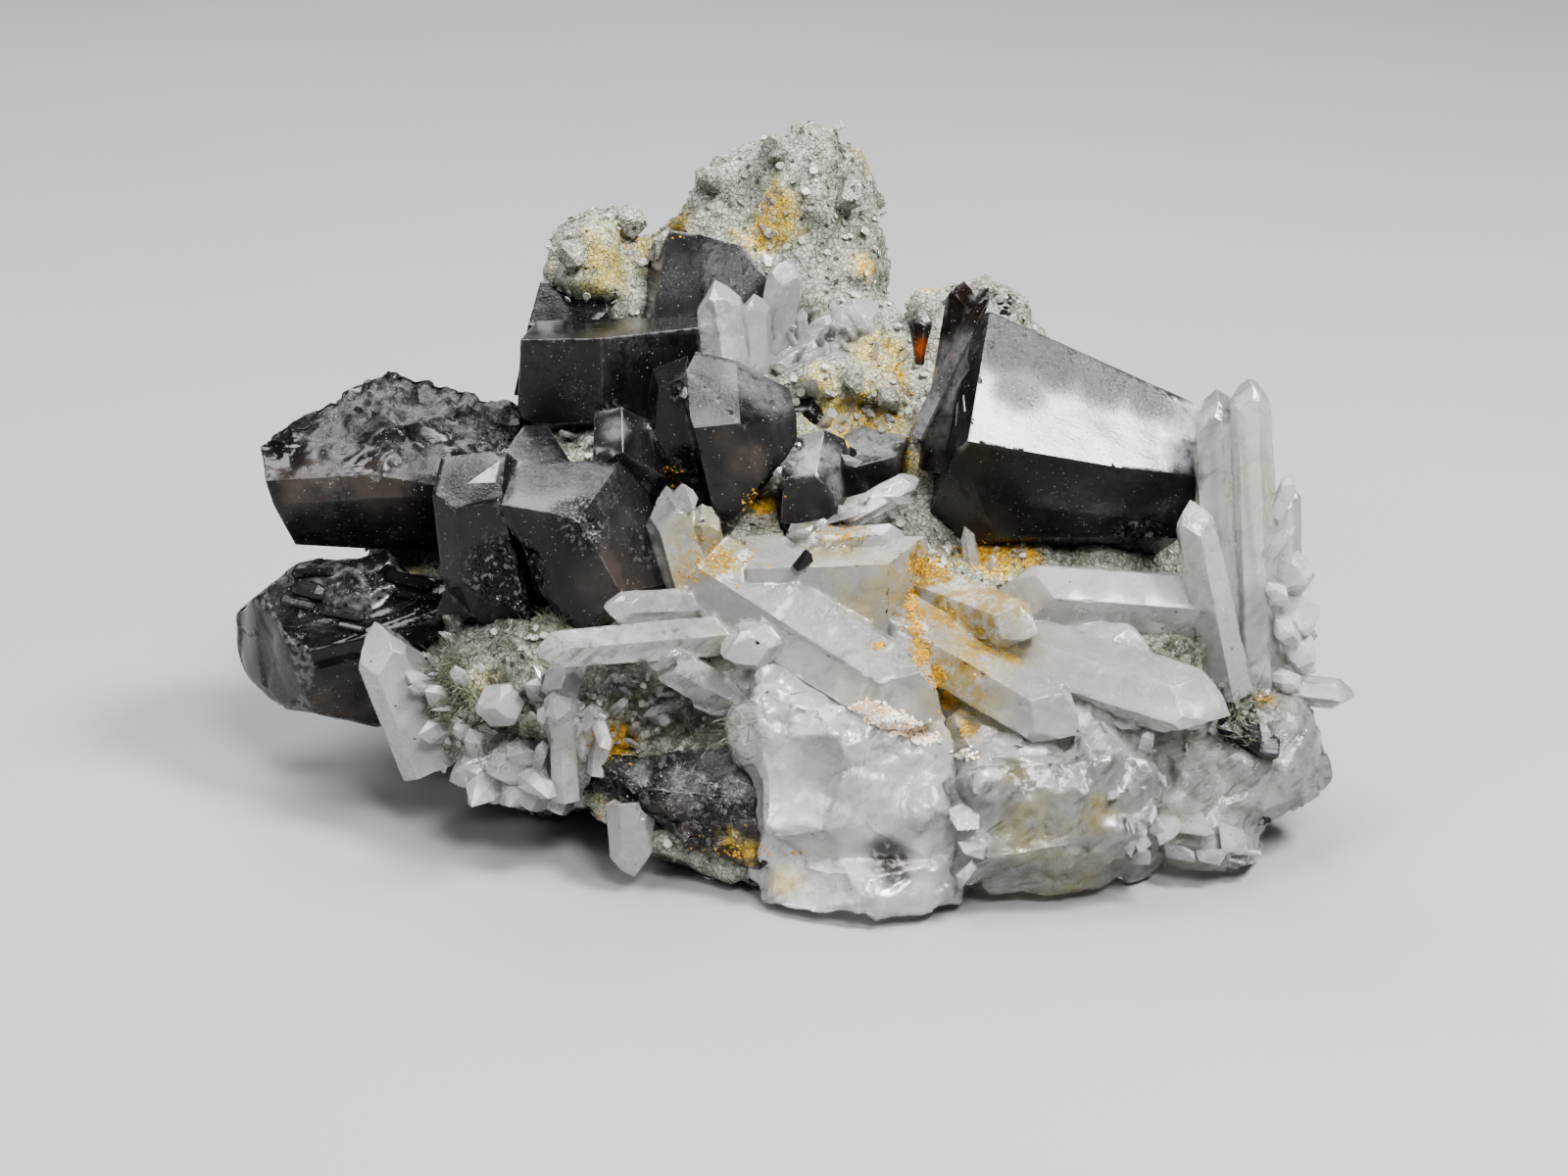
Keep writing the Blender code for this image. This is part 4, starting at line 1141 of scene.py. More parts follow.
GREEN_SPOTS = [
    (460, 690, 2.6, 0.9), (590, 660, 3.2, 0.8), (680, 690, 3.0, 0.9), (700, 650, 1.4, 1.0),
    (1200, 670, 2.6, 0.9), (1270, 730, 2.4, 0.9), (1040, 800, 3.0, 0.6), (1310, 845, 2.6, 0.8),
    (850, 650, 2.0, 0.4), (870, 460, 2.8, 0.5), (600, 290, 2.6, 0.9), (860, 560, 1.8, 0.6),
    (740, 730, 2.2, 0.7), (540, 700, 2.0, 0.6), (1010, 900, 2.0, 0.6), (820, 260, 3.0, 0.5),
]
FROST_SPOTS = [
    (1075, 588, 2.6, 1.0), (1115, 590, 2.6, 1.0), (1155, 592, 2.6, 1.0), (1195, 596, 2.6, 1.0),
    (850, 585, 2.4, 0.6), (900, 580, 2.0, 0.6), (1000, 690, 1.6, 0.5),
]
INCLUSION_SPOTS = [
    (908, 878, 1.9, 1.0), (905, 868, 1.5, 1.0), (915, 892, 1.3, 0.8), (1322, 842, 2.2, 0.6),
    (1292, 852, 1.6, 0.5),
]
DRUSE_SPOTS = [
    (440, 700, 16, 30, 14), (640, 720, 60, 50, 24), (840, 500, 70, 60, 50), (700, 530, 50, 40, 30),
    (860, 340, 60, 30, 30), (1290, 700, 20, 12, 8),
]
PLANTED_CRYSTALS = [
    (497, 800, -0.35, -0.45, 0.85, 2.6, 2.4), (522, 806, 0.10, -0.35, 0.90, 2.4, 2.2),
    (547, 800, 0.50, -0.30, 0.80, 2.2, 1.9), (460, 782, -0.60, -0.20, 0.80, 2.2, 1.8),
    (488, 768, -0.10, 0.60, 0.70, 2.4, 1.6), (545, 785, 0.30, 0.70, 0.50, 2.4, 0.9),
    (578, 792, -0.05, 1.00, 0.25, 3.9, 2.4), (611, 776, 0.10, 1.00, 0.20, 2.5, 1.4),
    (572, 722, -0.20, 0.20, 0.90, 2.2, 2.4), (548, 705, -0.30, 0.30, 0.85, 1.8, 1.3),
    (455, 715, -0.50, 0.30, 0.80, 2.4, 1.6), (440, 700, -0.70, 0.40, 0.60, 2.2, 1.2),
    (472, 695, -0.20, 0.50, 0.80, 1.8, 1.2), (450, 745, -0.60, -0.10, 0.80, 2.0, 1.6),
    (475, 745, -0.30, 0.10, 0.90, 1.8, 1.5), (530, 770, 0.10, 0.10, 0.95, 2.0, 1.8),
    (1306, 516, 0.30, 0.90, 0.30, 2.2, 1.2), (1300, 560, 0.50, 0.70, 0.40, 2.0, 1.1),
]
DRUSE_BEADS = [
    (1308, 590, 0.80, 0.50, 0.50, 3.0, 2.8), (1314, 628, 0.90, 0.10, 0.50, 3.2, 3.2),
    (1314, 664, 0.80, -0.20, 0.50, 3.0, 3.4), (1304, 645, 0.50, 0.00, 0.80, 2.6, 2.6),
    (1306, 690, 0.60, -0.40, 0.60, 2.4, 2.4), (1298, 610, 0.40, 0.40, 0.80, 2.0, 2.0),
]
BIG_SHARDS = [
    (1175, 846, 0.70, 0.10, 0.50, 3.0, 2.2), (1205, 842, 0.90, 0.00, 0.40, 3.6, 2.4),
    (1238, 852, 0.90, -0.15, 0.40, 3.2, 2.2), (1192, 868, 0.80, -0.10, 0.50, 3.0, 2.0),
    (1225, 872, 0.90, -0.10, 0.40, 2.6, 1.6), (1158, 872, 0.60, -0.10, 0.60, 2.2, 1.8),
    (1258, 868, 0.90, -0.05, 0.30, 2.4, 1.4), (1140, 740, 0.80, 0.30, 0.40, 2.6, 2.0),
    (984, 792, 0.50, -0.60, 0.40, 2.4, 2.2), (988, 826, -0.30, -0.80, 0.40, 2.6, 2.4),
    (986, 858, 0.60, -0.50, 0.50, 2.4, 2.6), (990, 890, -0.40, -0.30, 0.60, 2.2, 2.4),
    (1165, 765, 0.30, 0.60, 0.50, 2.4, 1.6), (860, 470, 0.80, 0.20, 0.50, 2.4, 1.6),
    (700, 520, -0.20, 0.80, 0.50, 3.2, 2.0), (905, 505, 0.90, -0.20, 0.30, 3.0, 1.4),
    (850, 530, 0.90, 0.30, 0.30, 3.4, 1.6), (460, 730, -0.50, 0.30, 0.70, 2.4, 1.8),
    (870, 345, 0.90, 0.40, 0.20, 3.4, 1.4), (840, 345, 0.60, 0.60, 0.30, 2.8, 1.3),
]
ROCK_LUMPS = [
    (590, 262, -0.60, 0.20, 0.50, 2.4, 3.0), (640, 236, 0.20, 0.90, 0.20, 2.6, 3.2),
    (668, 262, 0.40, 0.50, 0.40, 3.2, 3.0), (730, 190, -0.70, 0.50, 0.30, 2.6, 3.0),
    (860, 200, 0.60, 0.10, 0.60, 2.4, 3.2), (790, 160, 0.10, 0.70, 0.50, 2.4, 3.0),
    (905, 410, 0.10, 0.20, 0.80, 2.4, 2.4), (870, 390, -0.10, 0.20, 0.80, 2.2, 2.6),
    (915, 455, 0.20, 0.10, 0.80, 1.2, 0.9),
]
SHARD_SPOTS = [
    (690, 520, 40, 40, 40), (850, 480, 80, 90, 120), (620, 700, 90, 60, 90), (860, 580, 90, 30, 60),
    (1050, 700, 120, 60, 70), (1240, 730, 60, 30, 40), (470, 800, 60, 20, 20), (1165, 830, 30, 50, 30),
    (1045, 562, 60, 18, 40),
]
OCHRE_CRUMBS = [
    (948, 580, 26, 14, 320), (1000, 568, 34, 14, 380), (1042, 566, 24, 10, 180), (930, 612, 8, 16, 150),
    (934, 642, 8, 16, 150), (940, 668, 9, 12, 180), (954, 690, 9, 10, 120), (966, 712, 6, 12, 80),
    (984, 744, 5, 12, 40), (962, 634, 20, 16, 50), (1012, 666, 18, 6, 30), (1290, 713, 10, 5, 30),
    (918, 420, 14, 50, 60), (896, 658, 8, 5, 40), (778, 515, 16, 14, 140), (735, 572, 40, 22, 150),
    (690, 488, 8, 12, 50), (626, 758, 20, 16, 260), (752, 866, 52, 16, 70), (675, 225, 26, 14, 90),
    (915, 385, 12, 16, 40), (990, 665, 22, 30, 30), (860, 545, 24, 12, 40),
]
CREAM_CRUMBS = [
    (886, 722, 18, 7, 150), (906, 732, 20, 8, 190), (926, 744, 18, 8, 170), (942, 754, 12, 6, 90),
    (985, 770, 14, 8, 30),
]
SPARKLE_SPOTS = [
    (1140, 590, 110, 26, 420), (1010, 640, 80, 50, 300), (1150, 680, 110, 34, 380), (860, 620, 90, 50, 260),
    (1090, 700, 60, 30, 200), (900, 700, 80, 40, 200), (1240, 560, 40, 90, 160), (640, 655, 80, 16, 80),
]
DARK_CHIPS = [
    (880, 460, 40, 22, 8), (1275, 735, 14, 12, 10), (1030, 314, 24, 10, 6), (1315, 845, 30, 10, 22),
    (770, 885, 14, 10, 8),
]
DARK_BLOCKS = [(818, 580, 0.10, 0.70, 0.50, 1.9, 1.8)]
NEEDLE_SPOTS = [
    (460, 690, 26, 50, 420), (590, 655, 55, 40, 420), (680, 690, 85, 50, 700), (1200, 670, 50, 22, 260),
    (1270, 725, 26, 34, 260), (1300, 500, 30, 60, 60), (860, 560, 40, 18, 160), (470, 720, 30, 30, 200),
    (740, 740, 45, 30, 200), (1030, 650, 80, 30, 90), (500, 760, 40, 30, 120),
]


def off_the_faces(points, normals, source):
    """1 on the rounded edges between the whole faces of a solid and 0 on the faces."""
    tree = BVHTree.FromBMesh(source)
    flat = np.array([tree.find_nearest(Vector(p) * MM)[1] for p in points])
    return smooth_step(1 - (flat * normals).sum(axis=1), 0.004, 0.05)


def spots_on(node, table):
    """A crystal's spots, given by pixel, as (x, y, z, radius, strength) on its packed surface."""
    if node not in table:
        return []
    tree = tree_of([node])
    found = []
    for px, py, radius, strength in table[node]:
        start, way = ray_of(px, py)
        point = tree.ray_cast(start * MM, way)[0]
        if point is not None:
            found.append((*(point / MM), radius, strength))
    return found


def left_relief(points):
    """The pitted, half dissolved top of the large crystal at the left end."""
    top = smooth_step(points[:, 2], *MELTED_TOP)
    return top * (melted(points, 0.52) + broken_surface(points, 1.0, 0.26, 4.0))


def lower_left_relief(points, normals):
    """The lumps of the crystal's broken end and the ridges along the rest of it."""
    way = Vector((0.95, 0.28, 0.14)).normalized()
    side = 1 - smooth_step(np.abs(normals @ np.array(way)), 0.35, 0.75)
    end = 1 - smooth_step(points[:, 0], *BROKEN_END)
    lumps = end * (0.26 * wave(points, 3.4, 7.0) + broken_surface(points, 2.8, 0.13, 6.0))
    return lumps, side * (1 - 0.8 * end) * grooves(points, way, 0.75, 0.34, 4.0)


def front_relief(points):
    """Long slanting flakes on the broken lump at the front."""
    long_flakes = points * np.array((0.55, 1.0, 1.0)) + points[:, [2]] * np.array((0.5, 0, 0))
    height = broken_surface(long_flakes, 1.3, 0.45, 6.0) + broken_surface(points, 0.7, 0.14, 8.0)
    return height + grooves(points, (0.80, 0.10, -0.58), 0.55, 0.22, 9.0)


def relief_of(node, points, normals, broken):
    """How far each place of one black crystal is raised or sunk, in millimetres."""
    if node == "cassiterite_front_broken":
        return front_relief(points)
    height = uneven_faces(points, 0.05) - 0.30 * broken
    height = height + broken * broken_surface(points, 0.85, 0.50, 3.0)
    if node == "cassiterite_left_large":
        height = height + left_relief(points)
    elif node == "cassiterite_lower_left":
        lumps, ridges = lower_left_relief(points, normals)
        height = height + lumps + ridges
    return height


def tapered(points):
    """Points drawn in sideways towards their lower end."""
    low, high = points.min(axis=0), points.max(axis=0)
    share = 0.56 + 0.44 * smooth_step(points[:, 2], low[2], high[2])
    middle = (low[0] + high[0]) / 2
    points[:, 0] = middle + (points[:, 0] - middle) * share
    return points


def black_crystal(node, settings, earlier):
    """The finished mesh of one black crystal."""
    mesh, source = fine_crystal(node, settings)
    lay_out_faces(mesh, source)
    if node == "cassiterite_lower_left":
        left_end = 1 - smooth_step(points_of(mesh)[:, [0]], *ROUNDED_END)
        place_points(mesh, eased(mesh, points_of(mesh), times=60, share=left_end))
    points, normals = points_of(mesh), normals_of(mesh)
    worn = off_the_faces(points, normals, source)
    source.free()
    broken = soft_spots(points, spots_on(node, BROKEN_SPOTS))
    height = relief_of(node, points, normals, broken)
    place_points(mesh, points + normals * height[:, None])
    hug(mesh, earlier, far=0.55, overlap=0.06)
    if node == "cassiterite_brown_wedge":
        place_points(mesh, tapered(points_of(mesh)))
    rough = 0.45 if node == "cassiterite_front_broken" else 0.0
    # The edge zone lightens the edges, partly as wear and partly as a painted glint.
    set_zone(mesh, "edge", worn)
    set_zone(mesh, "broken", np.maximum(broken, rough))
    # The pale zone is a painted sheen and painted reflection.
    for zone, table in (("etched", ETCHED_SPOTS), ("brown", BROWN_SPOTS), ("pale", PAINTED_SHEEN_SPOTS)):
        set_zone(mesh, zone, soft_spots(points, spots_on(node, table)))
    return mesh


def quartz_crystal(mesh):
    """Nicks and faint swells on a quartz crystal or group; the reach of the rock's seam."""
    points = points_of(mesh)
    nicks = np.minimum(broken_surface(points, 1.6, 0.07, 5.0), 0.02)
    return points, nicks + 0.02 * wave(points, 1.4, 7.0), 0.60


def broken_quartz(mesh):
    """Shell-like hollows on a broken quartz mass, whose edges are eased first; the reach of its seam."""
    place_points(mesh, eased(mesh, points_of(mesh), times=26))
    points = points_of(mesh)
    height = np.minimum(scallops(points, 3.8, 0.60, 2.0) - 0.02, 0.16) + scallops(points, 1.5, 0.10, 5.0)
    return points, height + broken_surface(points, 2.2, 0.22, 7.0) + 0.16 * wave(points, 3.0, 8.0), 0.75


def quartz_piece(node, settings, earlier):
    """The finished mesh of one quartz crystal, group or broken mass."""
    mesh, source = fine_crystal(node, settings, 0.6)
    lay_out_faces(mesh, source)
    source.free()
    points, height, reach = broken_quartz(mesh) if node in BROKEN_QUARTZ else quartz_crystal(mesh)
    place_points(mesh, points + normals_of(mesh) * height[:, None])
    hug(mesh, earlier, far=reach, overlap=0.05)
    return mesh


def rock_mesh(settings):
    """The greisen: grains of unlike height and tilt, drawn up close to the crystals."""
    bm = whole_faces("matrix")
    mesh = remeshed("greisen_rock", bm, settings.rock_mesh)
    bm.free()
    points = points_of(mesh)
    size = settings.grain_size / MM
    relief = settings.grain_relief / MM
    height = 0.30 * wave(points, 4.0, 1.0) + 0.22 * wave(points, 1.9, 2.0)
    height = height + broken_surface(points, size, relief, 3.0)
    height = height + broken_surface(points, size * 2.6, relief * 1.5, 4.0)
    resting = smooth_step(points[:, 2], *ROCK_FOOT)
    place_points(mesh, points + normals_of(mesh) * (height * resting)[:, None])
    hug(mesh, GROWTH_ORDER, far=1.0, overlap=0.10, near=0.50)
    return mesh


class SPECIMEN_OT_finishes(bpy.types.Operator):
    """Builds the shared node groups and the materials"""

    bl_idname = "specimen.finishes"
    bl_label = "Finishes"

    def execute(self, context):
        settings = context.scene.specimen
        build_grain_group()
        build_dust_group()
        build_growth_group()
        build_stain_group()
        greisen_material(settings)
        black = tuple(settings.crystal_colour)
        deeper = toned(black, DEEPER, DEEPER, DEEPER)
        cassiterite_material(settings, "black_cassiterite", black, deeper, BLACK_WARM)
        cassiterite_material(settings, "amber_cassiterite", *AMBER)
        for name, values in QUARTZ_FINISHES.items():
            quartz_material(settings, name, *values)
        tourmaline_material()
        for name, values in CRUMB_FINISHES.items():
            crumb_material(name, *values)
        floor_material(settings)
        return {"FINISHED"}


class SPECIMEN_OT_rock(bpy.types.Operator):
    """Builds the greisen that carries the crystals"""

    bl_idname = "specimen.rock"
    bl_label = "Greisen rock"

    def execute(self, context):
        mesh = rock_mesh(context.scene.specimen)
        dress("greisen_rock", mesh, "rough_greisen", SMOOTH, ["matrix"])
        return {"FINISHED"}


class SPECIMEN_OT_cassiterite(bpy.types.Operator):
    """Builds the black cassiterite crystals"""

    bl_idname = "specimen.cassiterite"
    bl_label = "Cassiterite crystals"

    def execute(self, context):
        settings = context.scene.specimen
        for index, node in enumerate(BLACK_CRYSTALS):
            mesh = black_crystal(node, settings, GROWTH_ORDER[:index])
            name = node.replace("cassiterite", "black_crystal")
            dress(name, mesh, "black_cassiterite", FACETED, [node])
        return {"FINISHED"}


def bar_between(start, end, normal, width):
    """A low, six-sided bar that lies on a surface between two points, in millimetres."""
    along = (end - start).normalized()
    side = normal.cross(along).normalized()
    up = along.cross(side)
    ring = [(-0.5, -0.6), (-0.5, 0.1), (-0.28, 0.38), (0.28, 0.38), (0.5, 0.1), (0.5, -0.6)]
    full = start + along * width * 0.3, end - along * width * 0.4
    corners = []
    for place, size in ((start, 0.8), (full[0], 1.0), (full[1], 1.0), (end, 0.75)):
        corners += [place + (side * x + up * (y + 0.28)) * width * size for x, y in ring]
    faces = sides(6) + sides(6, 6) + sides(6, 12)
    return np.array(corners), faces + [[5, 4, 3, 2, 1, 0], [18, 19, 20, 21, 22, 23]]


def plate_between(tree, pixels, thickness):
    """A thin plate that lies on the surface between some pixels, in millimetres."""
    found = [seen_at(tree, px, py) for px, py in pixels]
    normal = sum((normal for _, normal in found), Vector()).normalized()
    middle = sum((point for point, _ in found), Vector()) / len(found)
    low = [point - normal * thickness for point, _ in found]
    high = [point + (middle - point) * 0.10 + normal * thickness for point, _ in found]
    count = len(found)
    caps = [list(range(count))[::-1], list(range(count, 2 * count))]
    return np.array(low + high), sides(count) + caps


class SPECIMEN_OT_growth_bars(bpy.types.Operator):
    """Builds the raised bars, and the small facets on the black crystals that are painted light grey as
    glints
    """

    bl_idname = "specimen.growth_bars"
    bl_label = "Growth bars"

    def execute(self, context):
        tree = surface_tree(["black_crystal_lower_left"])
        bars, plates = Heap(), Heap()
        for px0, py0, px1, py1, width in GROWTH_BARS:
            first, last = seen_at(tree, px0, py0), seen_at(tree, px1, py1)
            if first and last:
                bars.add(*bar_between(first[0], last[0], (first[1] + last[1]).normalized(), width))
        dress("growth_bars", bars.mesh("growth_bars"), "black_cassiterite", CHIPPED)
        for piece, pixels in FACET_PLATES:
            plates.add(*plate_between(surface_tree([piece]), pixels, 0.05))
        mesh = plates.mesh("bright_facets")
        # The facets are painted light grey as a glint.
        set_zone(mesh, "pale", np.full(len(mesh.vertices), 0.85))
        dress("bright_facets", mesh, "black_cassiterite", CHIPPED)
        return {"FINISHED"}


class SPECIMEN_OT_thin_crystals(bpy.types.Operator):
    """Builds the brown blades and wedge and the black tourmaline stub"""

    bl_idname = "specimen.thin_crystals"
    bl_label = "Brown blades and tourmaline"

    def execute(self, context):
        settings = context.scene.specimen
        for node in BROWN_CRYSTALS + BLACK_STUBS:
            brown = node in BROWN_CRYSTALS
            mesh = black_crystal(node, settings, GROWTH_ORDER[:GROWTH_ORDER.index(node)])
            finish = "amber_cassiterite" if brown else "ridged_tourmaline"
            name = node.replace("cassiterite", "brown_crystal") if brown else "black_stub"
            dress(name, mesh, finish, FACETED, [node])
        return {"FINISHED"}


class SPECIMEN_OT_quartz(bpy.types.Operator):
    """Builds the quartz prisms and the broken quartz masses"""

    bl_idname = "specimen.quartz"
    bl_label = "Quartz"

    def execute(self, context):
        settings = context.scene.specimen
        for node in MILKY_QUARTZ + CLEAR_QUARTZ + BROKEN_QUARTZ:
            mesh = quartz_piece(node, settings, GROWTH_ORDER[:GROWTH_ORDER.index(node)])
            milky = node in MILKY_QUARTZ + ["quartz_bluff", "quartz_button"]
            finish = "clouded_quartz" if node in BROKEN_QUARTZ else "clear_quartz"
            dress(node + "_crystal", mesh, "veined_quartz" if milky else finish, WORN, [node])
        return {"FINISHED"}


def spot_centres(tree, spots):
    """Spots given by pixel as (x, y, z, radius, strength) on the finished surface."""
    found = []
    for px, py, radius, strength in spots:
        place = seen_at(tree, px, py)
        if place is not None:
            found.append((*place[0], radius, strength))
    return found


def lay_stains(name, ochre, green, dark, frost):
    """Stores where one piece is stained, green, dark inside or frosted."""
    mesh = bpy.data.objects[name].data
    points = points_of(mesh)
    behind = smooth_step(points[:, 1], *BACK)
    patches = 0.65 * smooth_step(wave(points, 5.5, 12.0), 0.28, 0.52) * (0.25 + 0.75 * behind)
    if name.startswith("black"):
        patches = 0.0
    murk = 0.8 * smooth_step(wave(points, 6.5, 14.0), 0.05, 0.40)
    share = 1.0 if name.startswith("greisen") else 0.55
    if name.startswith(("quartz_boulder", "quartz_corner")):
        murk, share = np.maximum(murk, 0.55), 1.0
    set_zone(mesh, "ochre", np.maximum(soft_spots(points, ochre), patches))
    set_zone(mesh, "chlorite", np.maximum(soft_spots(points, green), murk * share))
    set_zone(mesh, "inclusion", soft_spots(points, dark))
    if name.startswith("quartz"):
        set_zone(mesh, "etched", soft_spots(points, frost))


class SPECIMEN_OT_stains(bpy.types.Operator):
    """Lays out where the ochre crust, the green chlorite, the inclusions and the frost lie"""

    bl_idname = "specimen.stains"
    bl_label = "Stains, chlorite and frost"

    def execute(self, context):
        tree = surface_tree(all_pieces())
        tables = (OCHRE_SPOTS, GREEN_SPOTS, INCLUSION_SPOTS, FROST_SPOTS)
        spots = [spot_centres(tree, table) for table in tables]
        for name in all_pieces():
            if name.startswith(("greisen", "quartz", "black_crystal_front_broken")):
                lay_stains(name, *spots)
        return {"FINISHED"}


def crystal_size(rng):
    """A small crystal's size, the same in all directions."""
    return np.full(3, rng.choice([0.9, 1.3, 1.8, 2.5], p=[0.35, 0.35, 0.2, 0.1]) * rng.uniform(0.8, 1.2))


def shard_size(rng):
    """A broken shard's size."""
    size = np.array([rng.uniform(0.5, 1.2), rng.uniform(0.4, 0.9), rng.uniform(0.5, 1.5)])
    return size * rng.choice([0.8, 1.2, 1.9], p=[0.5, 0.35, 0.15])


def flake_size(rng):
    """A mica flake's size."""
    return rng.uniform(0.3, 0.75) * np.array([1.0, 1.0, rng.uniform(0.6, 1.4)])


def needle_size(rng):
    """A needle's size."""
    width = rng.uniform(0.03, 0.07)
    return np.array([width, width, rng.uniform(0.6, 1.9)])


def chip_size(width, breadth, thickness):
    """Sizes of chips between a least and a greatest width; breadth and thickness are shares of it."""
    return lambda rng: rng.uniform(*width) * np.array([1.0, rng.uniform(*breadth), rng.uniform(*thickness)])


def rock_places(tree, rng, count, reach, wanted):
    """Random places on the rock with open air in front of them, where a test of the points allows them."""
    points, normals = surface_samples(["greisen_rock"], count, rng)
    free = open_air(points, normals, tree, reach) & wanted(points)
    return list(zip(points[free], normals[free]))


class SPECIMEN_OT_small_quartz(bpy.types.Operator):
    """Scatters small quartz crystals and shards over the quartz and the rock"""

    bl_idname = "specimen.small_quartz"
    bl_label = "Small quartz crystals and shards"

    def execute(self, context):
        rng = np.random.default_rng(context.scene.specimen.seed)
        tree = surface_tree(all_pieces())
        dark = BLACK_CRYSTALS + BROWN_CRYSTALS
        shapes = [crystal_shape(rng, slim) for slim in (0.28, 0.34, 0.42, 0.55) for _ in range(4)]
        places = aimed_samples(tree, DRUSE_SPOTS, rng, dark + CLEAR_QUARTZ[:3])
        places += rock_places(tree, rng, 900, reach=1.5, wanted=lambda p: (
            (wave(p, 4.5, 20.0) > 0.18) & (p[:, 2] > 5.0) & (p[:, 2] < 27.0)))
        mesh = scatter(places, shapes, rng, crystal_size, lean=38.0, sink=0.1).mesh("small_quartz")
        dress("small_quartz", mesh, "clear_quartz", CHIPPED)

        heap = planted(tree, PLANTED_CRYSTALS, rng)
        mesh = planted(tree, DRUSE_BEADS, rng, chip_shapes(rng, 8, points=40), heap).mesh("druse_crystals")
        dress("druse_crystals", mesh, "veined_quartz", CHIPPED)

        chips = chip_shapes(rng, 14, points=8)
        mesh = planted(tree, BIG_SHARDS, rng, chips).mesh("broken_shards")
        dress("broken_shards", mesh, "clear_quartz", CHIPPED)

        places = aimed_samples(tree, SHARD_SPOTS, rng, dark + CLEAR_QUARTZ)
        places += rock_places(tree, rng, 500, reach=1.5, wanted=lambda p: p[:, 2] > 1.2)
        mesh = scatter(places, chips, rng, shard_size, lean=60.0).mesh("quartz_shards")
        dress("quartz_shards", mesh, "clear_quartz", CHIPPED)

        places = aimed_samples(tree, SPARKLE_SPOTS, rng, BLACK_CRYSTALS)
        specks = chip_size((0.05, 0.15), (0.7, 1.0), (0.6, 1.0))
        mesh = scatter(places, chip_shapes(rng, 8, points=6), rng, specks, lean=50.0).mesh("sparkling_grit")
        dress("sparkling_grit", mesh, "veined_quartz", SPLINTERED)
        return {"FINISHED"}


class SPECIMEN_OT_grains(bpy.types.Operator):
    """Scatters the rock's lumps, its loose grains and its mica"""

    bl_idname = "specimen.grains"
    bl_label = "Rock grains and mica"

    def execute(self, context):
        rng = np.random.default_rng(context.scene.specimen.seed + 1)
        tree = surface_tree(all_pieces())
        places = rock_places(tree, rng, 9000, reach=1.0, wanted=lambda p: p[:, 2] > 0.5)
        chips = chip_shapes(rng, 16, points=7)
        lump_size = chip_size((0.9, 2.0), (0.7, 1.0), (0.5, 0.8))
        grain_size = chip_size((0.3, 0.8), (0.7, 1.0), (0.4, 0.7))

        lumps = planted(tree, ROCK_LUMPS, rng, chip_shapes(rng, 12, points=26))
        for point, normal in places[:220]:
            corners, faces = chips[rng.integers(len(chips))]
            size = lump_size(rng)
            lumps.add((corners * size) @ turned(normal, rng, lean=40.0) + point, faces)
        dress("rock_lumps", lumps.mesh("rock_lumps"), "rough_greisen", CHIPPED)

        part = len(places) * 3 // 4
        mesh = scatter(places[:part], chips, rng, grain_size, lean=60.0).mesh("rock_grains")
        dress("rock_grains", mesh, "rough_greisen", CHIPPED)

        flakes = [flake_shape(rng) for _ in range(8)]
        mesh = scatter(places[part:], flakes, rng, flake_size, lean=24.0, sink=-0.4).mesh("mica_flakes")
        dress("mica_flakes", mesh, "mica", CHIPPED)
        return {"FINISHED"}


class SPECIMEN_OT_crusts(bpy.types.Operator):
    """Scatters the ochre crumbs, the cream crumbs and the dark chips"""

    bl_idname = "specimen.crusts"
    bl_label = "Ochre and cream crusts"

    def execute(self, context):
        rng = np.random.default_rng(context.scene.specimen.seed + 2)
        tree = surface_tree(all_pieces())
        chips = chip_shapes(rng, 12, points=12)
        places = aimed_samples(tree, OCHRE_CRUMBS, rng)
        places += rock_places(tree, rng, 2500, reach=1.0, wanted=lambda p: wave(p, 5.5, 12.0) > 0.36)
        crumbs = chip_size((0.08, 0.32), (0.7, 1.0), (0.5, 0.9))
        mesh = scatter(places, chips, rng, crumbs, lean=60.0).mesh("ochre_crumbs")
        dress("ochre_crumbs", mesh, "limonite", WORN)

        places = aimed_samples(tree, CREAM_CRUMBS, rng)
        crumbs = chip_size((0.20, 0.50), (0.7, 1.0), (0.5, 0.9))
        mesh = scatter(places, chips, rng, crumbs, lean=60.0).mesh("cream_crumbs")
        dress("cream_crumbs", mesh, "cream_crumbs", WORN)

        chips = chip_shapes(rng, 10, points=9)
        places = aimed_samples(tree, DARK_CHIPS, rng, BLACK_CRYSTALS)
        heap = scatter(places, chips, rng, chip_size((0.5, 1.3), (0.6, 1.0), (0.4, 0.8)), lean=40.0)
        mesh = planted(tree, DARK_BLOCKS, rng, chips, heap).mesh("dark_chips")
        dress("dark_chips", mesh, "black_cassiterite", SPLINTERED)
        return {"FINISHED"}


class SPECIMEN_OT_needles(bpy.types.Operator):
    """Scatters the green-black needles between the crystals"""

    bl_idname = "specimen.needles"
    bl_label = "Chlorite needles"

    def execute(self, context):
        rng = np.random.default_rng(context.scene.specimen.seed + 3)
        tree = surface_tree(all_pieces())
        shapes = [needle_shape(rng) for _ in range(8)]
        places = aimed_samples(tree, NEEDLE_SPOTS, rng, BLACK_CRYSTALS + BROWN_CRYSTALS + CLEAR_QUARTZ)
        places += rock_places(tree, rng, 5000, reach=1.0, wanted=lambda p: (
            (wave(p, 3.0, 30.0) > 0.34) & (p[:, 2] > 1.5) & (p[:, 2] < 24.0)))
        mesh = scatter(places, shapes, rng, needle_size, lean=75.0).mesh("chlorite_needles")
        dress("chlorite_needles", mesh, "chlorite", ROUNDED)
        return {"FINISHED"}


